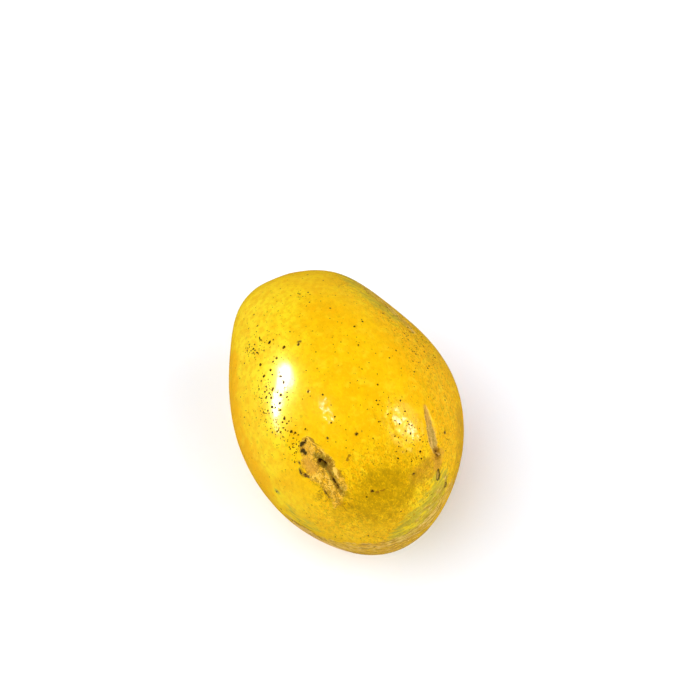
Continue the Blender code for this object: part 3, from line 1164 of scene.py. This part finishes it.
    def russet(self, graph: Graph) -> None:
        """Lay the smooth tan russet with its lobed outline and the thin brown line round it.

        Args:
            graph: The material's graph, whose colour is changed.
        """
        gap = self.ragged(graph, Mark.RUSSET, size=4.5, reach=2.2)
        cloud = graph.noise(2.2, 5, shift=(2, 60, 6))
        tan = graph.blend(cloud.ease(0.38, 0.62), self.tan, self.pale_tan)
        speck = graph.noise(0.5, 2, shift=(9, 6, 6)).ease(0.58, 0.66)
        tan = graph.blend(speck * 0.45, tan, self.brown)
        graph.lay(gap.ease(0.35, -0.25) * (cloud.ease(0.3, 0.6) * 0.3 + 0.6), tan)
        broken = graph.noise(1.5, 2, shift=(8, 6, 33)).ease(0.46, 0.60)
        graph.lay(abs(gap).ease(0.28, 0.04) * broken * 0.65, self.brown)

    def wound(self, graph: Graph) -> None:
        """Lay the healed wound's cork, with painted highlights on its crumbs and fold ridges and painted
        shade in its cracks, and the scrape's tan strip.

        Args:
            graph: The material's graph, whose colour is changed.
        """
        pink = graph.field(Tint.PINK)
        coarse = graph.noise(0.9, shift=(12, 1, 5))
        fine = graph.noise(0.40, 2, shift=(1, 14, 5))
        crumb = graph.noise(0.45, 2, shift=(61, 4, 5))
        cork = graph.blend(coarse.ease(0.38, 0.66), self.cork, self.cork_light)
        cork = graph.blend(fine.ease(0.50, 0.62) * 0.45, cork, self.rust)
        # Pale cream specks are painted highlights on the cork's crumbs
        cork = graph.blend(crumb.ease(0.54, 0.62) * 0.45, cork, self.cream)
        # Thin lines paint the cork's folds: the cream ones are painted highlights on the ridges, the stain
        # ones dark cracks that are partly painted shade
        for shift, above, most in ((67, self.orange, 0.60), (37, self.cream, 0.85), (7, self.stain, 0.75)):
            fold_shading = graph.noise(2, shift=(shift, 2, 9), stretch=(1.3, 0.8, 1.0)) - 0.5
            cork = graph.blend(abs(fold_shading).ease(0.040, 0.008) * most, cork, above)
        cork = graph.blend(pink * 0.7, cork, self.cork_pink)
        gap = self.ragged(graph, Mark.CORK, size=1.2, reach=0.65) + fine * 0.9 - 0.45
        graph.lay(gap.ease(0.35, -0.35) * 0.94, cork)
        rim = abs(gap).ease(0.30, 0.05) * coarse.ease(0.46, 0.60)
        graph.lay(rim * 0.75, self.rust)
        lengthwise = graph.noise(0.7, shift=(8, 3, 1), stretch=(1.6, 0.35, 1.0))
        strip = graph.blend(lengthwise.ease(0.44, 0.58), self.strip, self.strip_pale)
        strip = graph.blend(pink * 0.6, strip, self.cork_pink)
        gap = self.ragged(graph, Mark.SCRAPE, size=0.9, reach=0.26)
        graph.lay(gap.ease(0.22, -0.22) * 0.95, strip)

    def crusts(self, graph: Graph) -> None:
        """Lay the painted shade, the stains, lines, knots, flake and crusts in and round the marks.

        Args:
            graph: The material's graph, whose colour is changed.
        """
        fine = graph.noise(0.40, 2, shift=(1, 14, 5)) - 0.5
        for tint, above, wander, start, end, full, most in (
            # The first wash is painted shade in the pit, the crease and the scrape; the stains are the
            # skin's own colour
            (Tint.PAINTED_SHADE, self.painted_shade, 0.9, 0.10, 0.95, 0.2, 0.95),
            (Tint.STAIN, self.stain, 2.2, 0.20, 1.30, 0.5, 0.85),
        ):
            field = graph.field(tint)
            share = (field + fine * wander).ease(start, end) * field.ease(0, full) * most
            graph.lay(share, above)
        for mark, above, most, size in (
            (Mark.LINE, self.stain, 0.80, 0.8),
            (Mark.MAROON, self.maroon, 0.90, 0.6),
            (Mark.FLAKE, self.cream, 1.00, 1.0),
            (Mark.KNOT, self.knot, 0.85, 0.8),
        ):
            gap = self.ragged(graph, mark, size, reach=0.20)
            graph.lay(gap.ease(0.12, -0.12) * most, above)
        ring = abs(self.ragged(graph, Mark.KNOT, size=0.7, reach=0.14)).ease(0.30, 0.08)
        graph.lay(ring * 0.85, self.crust)
        gap = self.ragged(graph, Mark.SCAB, size=0.5, reach=0.20)
        graph.lay(gap.ease(0.35, 0) * 0.65, self.brown)
        graph.lay(gap.ease(0.06, -0.10), self.crust)

    def stem_scar(self, graph: Graph) -> None:
        """Lay the stalk's scar and the tan skin round it.

        Args:
            graph: The material's graph, whose colour is changed.
        """
        wide = self.ragged(graph, Gauge.STEM, size=5, reach=3.2)
        coarse = graph.noise(0.9, shift=(3, 9, 5))
        cloud = graph.noise(2.4, 4, shift=(13, 9, 5))
        broken = coarse.ease(0.44, 0.56)
        skirt = graph.blend(coarse.ease(0.35, 0.65), self.tan, self.pale_tan)
        skirt = graph.blend(cloud.ease(0.50, 0.60) * 0.6, skirt, self.green)
        graph.lay(wide.ease(8.6, 7.4) * (cloud.ease(0.62, 0.40) * 0.3 + 0.6), skirt)
        graph.lay(abs(wide - 8.2).ease(0.30, 0.05) * broken * 0.7, self.brown)
        distance = self.ragged(graph, Gauge.STEM, size=1.6, reach=0.35)
        button = graph.blend(coarse.ease(0.42, 0.60), self.cork, self.cream)
        button = graph.blend(cloud.ease(0.52, 0.62) * 0.5, button, self.rust)
        graph.lay(distance.ease(4.3, 3.8), button)
        ring = abs(distance - 4.35).ease(0.32, 0.06)
        graph.lay(ring * (broken * 0.5 + 0.4), self.brown)
        groove = abs(distance - 3.1).ease(0.45, 0.1)
        graph.lay(groove * broken * 0.6, self.stain)
        graph.lay(distance.ease(2.4, 1.0) * 0.7, self.stain)
        graph.lay(distance.ease(1.5, 0.9), self.crust)

    def dullness(self, graph: Graph) -> Value:
        """Work out how dull the surface is.

        Args:
            graph: The material's graph.

        Returns:
            From 0 on waxy skin to 1 on cork.
        """
        dull = self.ragged(graph, Mark.RUSSET, size=4.5, reach=2.2).ease(0.15, -0.15) * 0.6
        for field, start, end in (
            (Mark.CORK, 0.3, -0.3),
            (Mark.SCRAPE, 0.15, -0.15),
            (Mark.SCAB, 0.2, -0.1),
            (Gauge.STEM, 8.5, 6.5),
        ):
            dull = graph.maths("MAXIMUM", dull, graph.field(field).ease(start, end))
        return dull

    def relief(self, graph: Graph, dull: Value) -> Value:
        """Raise the finest grain of the peel and of the cork.

        Args:
            graph: The material's graph.
            dull: How dull the surface is.

        Returns:
            The bumped normal.
        """
        coarse = graph.noise(0.75, 2, shift=(14, 4, 19)) * graph.field(Tint.COARSE)
        height = graph.noise(0.9, 2, shift=(4, 4, 9)) * self.peel_bump + coarse * self.coarse_bump
        height = height + graph.noise(0.4, shift=(24, 2, 19)) * dull * self.crumb_bump
        bump = graph.tree.nodes.new("ShaderNodeBump")
        bump.inputs["Distance"].default_value = MM
        graph.feed(bump.inputs["Height"], height)
        return Value(graph, bump.outputs[0])

    def build(self) -> bpy.types.Material:
        """Build the finish.

        Returns:
            The material.
        """
        graph = Graph(self.name)
        for lay in (self.ground, self.washes, self.freckles, self.russet, self.strokes):
            lay(graph)
        for lay in (self.wound, self.crusts, self.stem_scar):
            lay(graph)
        dull = self.dullness(graph)
        graph.finish(
            Base_Color=graph.colour,
            Roughness=dull * self.dull_roughness + self.gloss,
            Coat_Weight=dull * -self.wax + self.wax,
            Coat_Roughness=self.wax_roughness,
            Specular_IOR_Level=self.shine,
            Specular_Tint=self.shine_tint,
            Normal=self.relief(graph, dull),
        )
        return graph.material


@dataclass(frozen=True)
class FleckFinish:
    """A fleck on the skin in two colours that change from fleck to fleck."""

    name: str
    first: Colour
    second: Colour
    roughness: float
    change: float = 1.1

    def build(self) -> bpy.types.Material:
        """Build the finish.

        Returns:
            The material.
        """
        graph = Graph(self.name)
        colour = graph.blend(graph.noise(self.change, 1).ease(0.38, 0.62), self.first, self.second)
        graph.finish(Base_Color=colour, Roughness=self.roughness, Specular_IOR_Level=0)
        return graph.material


@dataclass(frozen=True)
class FloorFinish:
    """Plain pale matt paper."""

    name: str = "pale_floor"
    colour: Colour = (0.965, 0.975, 0.99)
    roughness: float = 0.7
    shine: float = 0.2

    def build(self) -> bpy.types.Material:
        """Build the finish.

        Returns:
            The material.
        """
        graph = Graph(self.name)
        graph.finish(Base_Color=self.colour, Roughness=self.roughness, Specular_IOR_Level=self.shine)
        return graph.material


@dataclass(frozen=True)
class FruitSkin:
    """The whole skin of the fruit as one fine closed mesh."""

    form: FruitForm = FruitForm()
    finish: SkinFinish = SkinFinish()
    sphere_subdivisions: int = 7
    refine_passes: int = 2
    fine_edge: float = 0.00024
    stem_edge: float = 0.00022
    stem_reach: float = 0.0060
    edge_growth: float = 0.35
    edge_slack: float = 1.3

    def wanted_edge(self, points: np.ndarray) -> np.ndarray:
        """Work out how long the edges should be.

        Args:
            points: Places on the plain egg, one a row.

        Returns:
            The wanted length at each.
        """
        gaps = [one.clearance(points) for mark in FINE_MARKS for one in MARKS[mark]]
        outside = np.maximum(np.min(gaps, axis=0), 0)
        marks = self.fine_edge + self.edge_growth * outside
        outside = np.maximum(self.form.stem_radius(points) - self.stem_reach, 0)
        return np.minimum(marks, self.stem_edge + self.edge_growth * outside)

    def refine(self, mesh: bmesh.types.BMesh) -> None:
        """Halve the edges of a unit sphere that are too long for the detail near them.

        Args:
            mesh: The sphere, which is changed.
        """
        for _ in range(self.refine_passes):
            mesh.edges.ensure_lookup_table()
            ends = np.array([[vert.co for vert in edge.verts] for edge in mesh.edges])
            first, second = EGG.place(ends[:, 0]), EGG.place(ends[:, 1])
            length = np.linalg.norm(second - first, axis=1)
            long = np.nonzero(length > self.edge_slack * self.wanted_edge((first + second) / 2))[0]
            edges = [mesh.edges[k] for k in long]
            bmesh.ops.subdivide_edges(mesh, edges=edges, cuts=1, use_grid_fill=True)
            bmesh.ops.triangulate(mesh, faces=mesh.faces[:])
            for vert in mesh.verts:
                vert.co.normalize()

    def build(self) -> bpy.types.Object:
        """Build the skin and dress it.

        Returns:
            The skin.
        """
        mesh = bmesh.new()
        bmesh.ops.create_icosphere(mesh, subdivisions=self.sphere_subdivisions, radius=1)
        self.refine(mesh)
        data = bpy.data.meshes.new("skin")
        mesh.to_mesh(data)
        mesh.free()
        units = np.empty(len(data.vertices) * 3, np.float32)
        data.vertices.foreach_get("co", units)
        units = units.reshape(-1, 3).astype(float)
        fields = skin_fields(units, self.form)
        places = self.form.skin(units, fields)
        data.vertices.foreach_set("co", places.astype(np.float32).ravel())
        for field, values in fields.items():
            attribute = data.attributes.new(field.value, "FLOAT", "POINT")
            attribute.data.foreach_set("value", values.astype(np.float32))
        data.shade_smooth()
        data.update()
        data.materials.append(self.finish.build())
        skin = bpy.data.objects.new("skin", data)
        bpy.context.scene.collection.objects.link(skin)
        return skin


# A dome's length and width as shares of its radius, and how far it may be turned
DOME_LENGTH = (0.8, 1.4)
DOME_WIDTH = (0.8, 1.0)
FULL_TURN = 6.283

# A socket, or what an input is set to. None leaves it alone
Given = bpy.types.NodeSocket | float | str | None


class ScatterTree:
    """A Geometry Nodes tree that sets small domes on points, with short calls for its nodes."""

    def __init__(self, name: str, numbers: tuple[str, ...]) -> None:
        """Start the tree with its named inputs.

        Args:
            name: The tree's name.
            numbers: The names of its plain numbers.
        """
        self.tree = bpy.data.node_groups.new(name, "GeometryNodeTree")
        face = self.tree.interface
        face.new_socket("Geometry", in_out="OUTPUT", socket_type="NodeSocketGeometry")
        face.new_socket("Geometry", in_out="INPUT", socket_type="NodeSocketGeometry")
        for number in numbers:
            face.new_socket(number, in_out="INPUT", socket_type="NodeSocketFloat")
        face.new_socket("Seed", in_out="INPUT", socket_type="NodeSocketInt")
        face.new_socket("Material", in_out="INPUT", socket_type="NodeSocketMaterial")
        self.given = self.tree.nodes.new("NodeGroupInput").outputs
        self.result = self.tree.nodes.new("NodeGroupOutput").inputs[0]

    def add(self, kind: str, *values: Given, **named: Given) -> bpy.types.Node:
        """Add a node and feed its inputs.

        Args:
            kind: Blender's name for the node.
            values: An output, a number or None for each of its first inputs in turn.
            named: An output or a number for each input that is fed by its name.

        Returns:
            The node.
        """
        node = self.tree.nodes.new(kind)
        fed = [(node.inputs[name], value) for name, value in named.items()]
        for socket, value in [*zip(node.inputs, values), *fed]:
            if isinstance(value, bpy.types.NodeSocket):
                self.tree.links.new(value, socket)
            elif value is not None:
                socket.default_value = value
        return node

    def maths(self, operation: str, first: Given, second: Given) -> bpy.types.NodeSocket:
        """Do one sum on numbers.

        Args:
            operation: Blender's name for it.
            first: The first number.
            second: The second number.

        Returns:
            The result.
        """
        node = self.add("ShaderNodeMath", first, second)
        node.operation = operation
        return node.outputs[0]

    def random(self, offset: int, low: float, high: float) -> bpy.types.NodeSocket:
        """Draw a random number for each fleck.

        Args:
            offset: What is added to the seed, so that two draws differ.
            low: The lowest number.
            high: The highest number.

        Returns:
            The numbers.
        """
        seed = self.maths("ADD", self.given["Seed"], offset)
        return self.add("FunctionNodeRandomValue", None, None, low, high, Seed=seed).outputs[1]

    def named(self, name: str, kind: str = "FLOAT") -> bpy.types.NodeSocket:
        """Read one of the fields that the mesh carries.

        Args:
            name: Its name.
            kind: Blender's name for what it holds.

        Returns:
            The field.
        """
        node = self.add("GeometryNodeInputNamedAttribute", name)
        node.data_type = kind
        return node.outputs["Attribute"]

    def domes(self, rounds: int, points: Given, facing: Given, radius: Given) -> None:
        """Set a dome on each point, turn it at random and dress it.

        Args:
            rounds: How finely the dome is divided.
            points: The points.
            facing: How each point is turned.
            radius: Each dome's radius.
        """
        dome = self.add("GeometryNodeMeshIcoSphere", 1.0, rounds)
        smooth = self.add("GeometryNodeSetShadeSmooth", dome.outputs["Mesh"])
        scale = self.add(
            "ShaderNodeCombineXYZ",
            self.maths("MULTIPLY", radius, self.random(2, *DOME_LENGTH)),
            self.maths("MULTIPLY", radius, self.random(3, *DOME_WIDTH)),
            self.given["Lift"],
        )
        angle = self.add("ShaderNodeCombineXYZ", None, None, self.random(4, 0, FULL_TURN))
        placed = self.add(
            "GeometryNodeInstanceOnPoints",
            Points=points,
            Instance=smooth.outputs[0],
            Rotation=facing,
            Scale=scale.outputs[0],
        )
        turned = self.add(
            "GeometryNodeRotateInstances", Instances=placed.outputs[0], Rotation=angle.outputs[0]
        )
        real = self.add("GeometryNodeRealizeInstances", turned.outputs[0])
        dressed = self.add("GeometryNodeSetMaterial", real.outputs[0], Material=self.given["Material"])
        self.tree.links.new(dressed.outputs[0], self.result)


def made_by(tree: bpy.types.NodeTree, data: bpy.types.Mesh, values: dict[str, object]) -> bpy.types.Object:
    """Run a tree once over a mesh and keep what it makes as plain geometry.

    Args:
        tree: The tree.
        data: The mesh that it starts from.
        values: The tree's inputs by name.

    Returns:
        The new piece, named after the tree.
    """
    source = bpy.data.objects.new(tree.name + "_source", data)
    bpy.context.scene.collection.objects.link(source)
    modifier = source.modifiers.new("scatter", "NODES")
    modifier.node_group = tree
    for item in tree.interface.items_tree:
        if item.in_out == "INPUT" and item.name in values:
            modifier[item.identifier] = values[item.name]
    graph = bpy.context.evaluated_depsgraph_get()
    made = bpy.data.meshes.new_from_object(source.evaluated_get(graph), depsgraph=graph)
    bpy.data.objects.remove(source)
    made.name = tree.name
    piece = bpy.data.objects.new(tree.name, made)
    bpy.context.scene.collection.objects.link(piece)
    return piece


@dataclass(frozen=True)
class FleckScatter:
    """Small low domes scattered over the skin by one of its fields."""

    name: str
    finish: FleckFinish
    field: Tint
    seed: int
    density: float
    base_density: float
    smallest: float
    largest: float
    lift: float
    rounds: int = 1
    fewer_large: float = 2.6

    def build(self, skin: bpy.types.Object) -> bpy.types.Object:
        """Scatter the flecks over the skin.

        Args:
            skin: The finished skin.

        Returns:
            The flecks as one plain mesh.
        """
        scatter = ScatterTree(self.name, ("Density", "Base Density", "Smallest", "Largest", "Lift"))
        given = scatter.given
        density = scatter.maths("MULTIPLY", scatter.named(self.field.value), given["Density"])
        base = scatter.maths("MULTIPLY", scatter.named(Gauge.BARE.value), given["Base Density"])
        spread = scatter.add(
            "GeometryNodeDistributePointsOnFaces",
            Mesh=given["Geometry"],
            Density=scatter.maths("ADD", density, base),
            Seed=given["Seed"],
        )
        span = scatter.maths("SUBTRACT", given["Largest"], given["Smallest"])
        share = scatter.maths("POWER", scatter.random(1, 0, 1), self.fewer_large)
        radius = scatter.maths("ADD", given["Smallest"], scatter.maths("MULTIPLY", span, share))
        scatter.domes(self.rounds, spread.outputs["Points"], spread.outputs["Rotation"], radius)
        values = {
            "Density": self.density,
            "Base Density": self.base_density,
            "Smallest": self.smallest,
            "Largest": self.largest,
            "Lift": self.lift,
            "Seed": self.seed,
            "Material": self.finish.build(),
        }
        return made_by(scatter.tree, skin.data, values)


@dataclass(frozen=True)
class PlacedFlecks:
    """The pores that show best, each at a place of its own."""

    form: FruitForm = FruitForm()
    name: str = "placed_pores"
    finish: FleckFinish = FleckFinish("placed_pore", (0.020, 0.010, 0.0005), (0.130, 0.055, 0.001), 0.8)
    eye: PhotoEye = PhotoEye()
    pores: tuple[tuple[float, float, float], ...] = PORE_PIXELS
    largest: float = LARGE
    largest_radius: float = 0.00043
    falling_off: float = 1.45
    lift: float = 0.00004
    rounds: int = 2
    seed: int = 5

    def points(self) -> bpy.types.Mesh:
        """Lay a point on the skin for each pore.

        Returns:
            The points, which carry each pore's size and the way it faces.
        """
        pores = np.array(self.pores)
        size = pores[:, 2]
        around, along = self.eye.angles(pores[:, :2])
        radius = self.largest_radius * (size / self.largest) ** self.falling_off
        turn, climb = np.radians(around), np.radians(along)
        flat = np.cos(climb)
        units = np.stack([flat * np.cos(turn), np.sin(climb), flat * np.sin(turn)], axis=1)
        places = self.form.skin(units, skin_fields(units, self.form))
        data = bpy.data.meshes.new(self.name + "_points")
        data.from_pydata(places.tolist(), [], [])
        data.attributes.new("size", "FLOAT", "POINT").data.foreach_set("value", radius.astype(np.float32))
        facing = EGG.facing(units).astype(np.float32)
        data.attributes.new("facing", "FLOAT_VECTOR", "POINT").data.foreach_set("vector", facing.ravel())
        return data

    def build(self) -> bpy.types.Object:
        """Set the pores on the skin.

        Returns:
            The pores as one plain mesh.
        """
        scatter = ScatterTree(self.name, ("Lift",))
        align = scatter.tree.nodes.new("FunctionNodeAlignRotationToVector")
        align.axis = "Z"
        scatter.tree.links.new(scatter.named("facing", "FLOAT_VECTOR"), align.inputs["Vector"])
        scatter.domes(self.rounds, scatter.given["Geometry"], align.outputs[0], scatter.named("size"))
        values = {"Lift": self.lift, "Seed": self.seed, "Material": self.finish.build()}
        return made_by(scatter.tree, self.points(), values)


@dataclass(frozen=True)
class Ambarella:
    """The fruit: its skin and the flecks on it."""

    skin: FruitSkin = FruitSkin()
    placed: PlacedFlecks = PlacedFlecks()
    scatters: tuple[FleckScatter, ...] = (
        FleckScatter(
            "dark_pores", FleckFinish("dark_pore", (0.028, 0.012, 0.0005), (0.14, 0.055, 0.001), 0.8),
            Tint.DARK_PORES, seed=11, density=1_000_000, base_density=14_000,
            smallest=0.00013, largest=0.00034, lift=0.00003,
        ),
        FleckScatter(
            "faint_pores", FleckFinish("faint_pore", (0.52, 0.25, 0.002), (0.34, 0.19, 0.002), 0.6),
            Tint.FAINT_PORES, seed=23, density=240_000, base_density=120_000,
            smallest=0.00009, largest=0.00024, lift=0.00002,
        ),
        FleckScatter(
            "gold_dots", FleckFinish("gold_dot", (0.80, 0.46, 0.05), (0.86, 0.56, 0.14), 0.35),
            Tint.GOLD_DOTS, seed=37, density=600_000, base_density=0,
            smallest=0.00014, largest=0.00030, lift=0.00007,
        ),
    )

    def build(self) -> None:
        """Build each piece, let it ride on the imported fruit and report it."""
        skin = self.skin.build()
        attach(skin, BODY)
        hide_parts(CAD_NODE)
        log.info("skin: %d faces", len(skin.data.polygons))
        for flecks in (self.placed.build(), *(scatter.build(skin) for scatter in self.scatters)):
            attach(flecks, BODY)
            log.info("%s: %d faces", flecks.name, len(flecks.data.polygons))


@dataclass(frozen=True)
class Lamp:
    """A lamp that shows in the gloss of the skin, placed by the way to it and the angles that it fills."""

    name: str
    toward: Place
    wide: float
    high: float
    turn: float
    radiance: float
    distance: float = 1.2

    def build(self, middle: Vector) -> None:
        """Hang the lamp.

        Args:
            middle: The middle of the fruit.
        """
        data = bpy.data.lights.new(self.name, "AREA")
        data.shape = "ELLIPSE"
        data.size = 2 * self.distance * np.tan(radians(self.wide / 2))
        data.size_y = 2 * self.distance * np.tan(radians(self.high / 2))
        data.energy = self.radiance * np.pi * data.size * data.size_y
        lamp = bpy.data.objects.new(self.name, data)
        way = Vector(self.toward).normalized()
        lamp.location = middle + way * self.distance
        turn = Matrix.Rotation(radians(self.turn), 4, "Z")
        lamp.rotation_euler = (way.to_track_quat("Z", "Y").to_matrix().to_4x4() @ turn).to_euler()
        lamp.visible_diffuse = False
        bpy.context.scene.collection.objects.link(lamp)


@dataclass(frozen=True)
class Sky:
    """A wide part of the bright room, which lights what is matt but doesn't show in the gloss."""

    name: str
    toward: Place
    angle: float
    strength: float
    colour: Colour = (1.0, 1.0, 1.0)

    def build(self) -> None:
        """Hang the light."""
        data = bpy.data.lights.new(self.name, "SUN")
        data.color = self.colour
        data.energy = self.strength
        data.angle = radians(self.angle)
        sky = bpy.data.objects.new(self.name, data)
        sky.rotation_euler = Vector(self.toward).to_track_quat("Z", "Y").to_euler()
        data.cycles.use_multiple_importance_sampling = False
        sky.visible_glossy = False
        bpy.context.scene.collection.objects.link(sky)


@dataclass(frozen=True)
class Studio:
    """The plain pale floor, the soft light and the camera."""

    floor_size: float = 6.0
    floor_gap: float = 0.00002
    camera_around: float = -25.1
    camera_up: float = 65.0
    camera_distance: float = 0.3949
    camera_lens: float = 75.0
    camera_near: float = 0.01
    aim_right: float = 0.00251
    aim_up: float = 0.01502
    room_light: float = 0.05
    room_glow: Colour = (0.50, 0.31, 0.02)
    skies: tuple[Sky, ...] = (
        Sky("overhead", (0.0, 0.0, 1.0), angle=110, strength=0.6, colour=(0.82, 0.94, 1.25)),
        Sky("left_side", (-0.5, 0.15, 0.85), angle=70, strength=2.28),
        Sky("front_side", (0.65, -0.5, 0.5), angle=70, strength=2.0),
        Sky("back_side", (-0.6, 0.6, 0.5), angle=70, strength=0.35),
    )
    lamps: tuple[Lamp, ...] = (
        Lamp("window", (-0.615, 0.584, 0.530), wide=16, high=14, turn=-41, radiance=40),
        Lamp("window_side", (-0.7675, 0.489, 0.415), wide=34, high=9.5, turn=-41, radiance=36),
        Lamp("window_foot", (-0.90, 0.36, 0.25), wide=22, high=6, turn=-35, radiance=14),
        Lamp("ceiling_lamp", (-0.405, 0.09, 0.91), wide=11, high=3.5, turn=-20, radiance=30),
        Lamp("far_window", (0.63, -0.28, 0.725), wide=6, high=6, turn=0, radiance=34),
        Lamp("far_window_low", (0.745, -0.385, 0.545), wide=5, high=6, turn=0, radiance=26),
        Lamp("far_wall", (0.67, -0.34, 0.66), wide=30, high=34, turn=20, radiance=1.5),
    )

    def lay_floor(self) -> None:
        """Lay the floor under the fruit."""
        bpy.ops.mesh.primitive_plane_add(size=self.floor_size, location=(0, 0, -self.floor_gap))
        floor = bpy.context.object
        floor.name = "floor"
        floor.data.materials.append(FloorFinish().build())
        floor.visible_glossy = False
        log.info("floor: %.1f m wide", self.floor_size)

    def light_room(self) -> None:
        """Make the room white to look at, faint to what is matt and amber to what is glossy."""
        world = bpy.data.worlds.new("room")
        world.use_nodes = True
        world.cycles.sampling_method = "NONE"
        tree = world.node_tree
        path = tree.nodes.new("ShaderNodeLightPath")
        background = tree.nodes["Background"].inputs["Color"]
        background.default_value = (*self.room_glow, 1.0)
        for kind, level in (("Is Diffuse Ray", self.room_light), ("Is Camera Ray", 1.0)):
            seen = tree.nodes.new("ShaderNodeMixRGB")
            if background.is_linked:
                tree.links.new(background.links[0].from_socket, seen.inputs[1])
            else:
                seen.inputs[1].default_value = background.default_value
            seen.inputs[2].default_value = (level, level, level, 1.0)
            tree.links.new(path.outputs[kind], seen.inputs[0])
            tree.links.new(seen.outputs[0], background)
        bpy.context.scene.world = world

    def place_camera(self, middle: Vector) -> None:
        """Stand the camera where it looks down on the fruit.

        Args:
            middle: The middle of the egg.
        """
        turn, climb = radians(self.camera_around), radians(self.camera_up)
        back = Vector((sin(turn) * cos(climb), -cos(turn) * cos(climb), sin(climb)))
        right = Vector((cos(turn), sin(turn), 0))
        aim = middle + right * self.aim_right + back.cross(right) * self.aim_up
        data = bpy.data.cameras.new("camera")
        data.lens = self.camera_lens
        data.clip_start = self.camera_near
        camera = bpy.data.objects.new("camera", data)
        camera.location = aim + back * self.camera_distance
        camera.rotation_euler = back.to_track_quat("Z", "Y").to_euler()
        bpy.context.scene.collection.objects.link(camera)
        bpy.context.scene.camera = camera

    def build(self) -> None:
        """Set up the floor, the light and the camera."""
        middle = Vector(EGG_MIDDLE)
        self.lay_floor()
        self.light_room()
        for sky in self.skies:
            sky.build()
        for lamp in self.lamps:
            lamp.build(middle)
        self.place_camera(middle)
        bpy.context.scene.view_settings.view_transform = "Standard"


def main() -> None:
    """Build the fruit and the studio."""
    logging.basicConfig(level=logging.INFO, format="%(message)s")
    Ambarella().build()
    Studio().build()


if __name__ == "__main__":
    main()
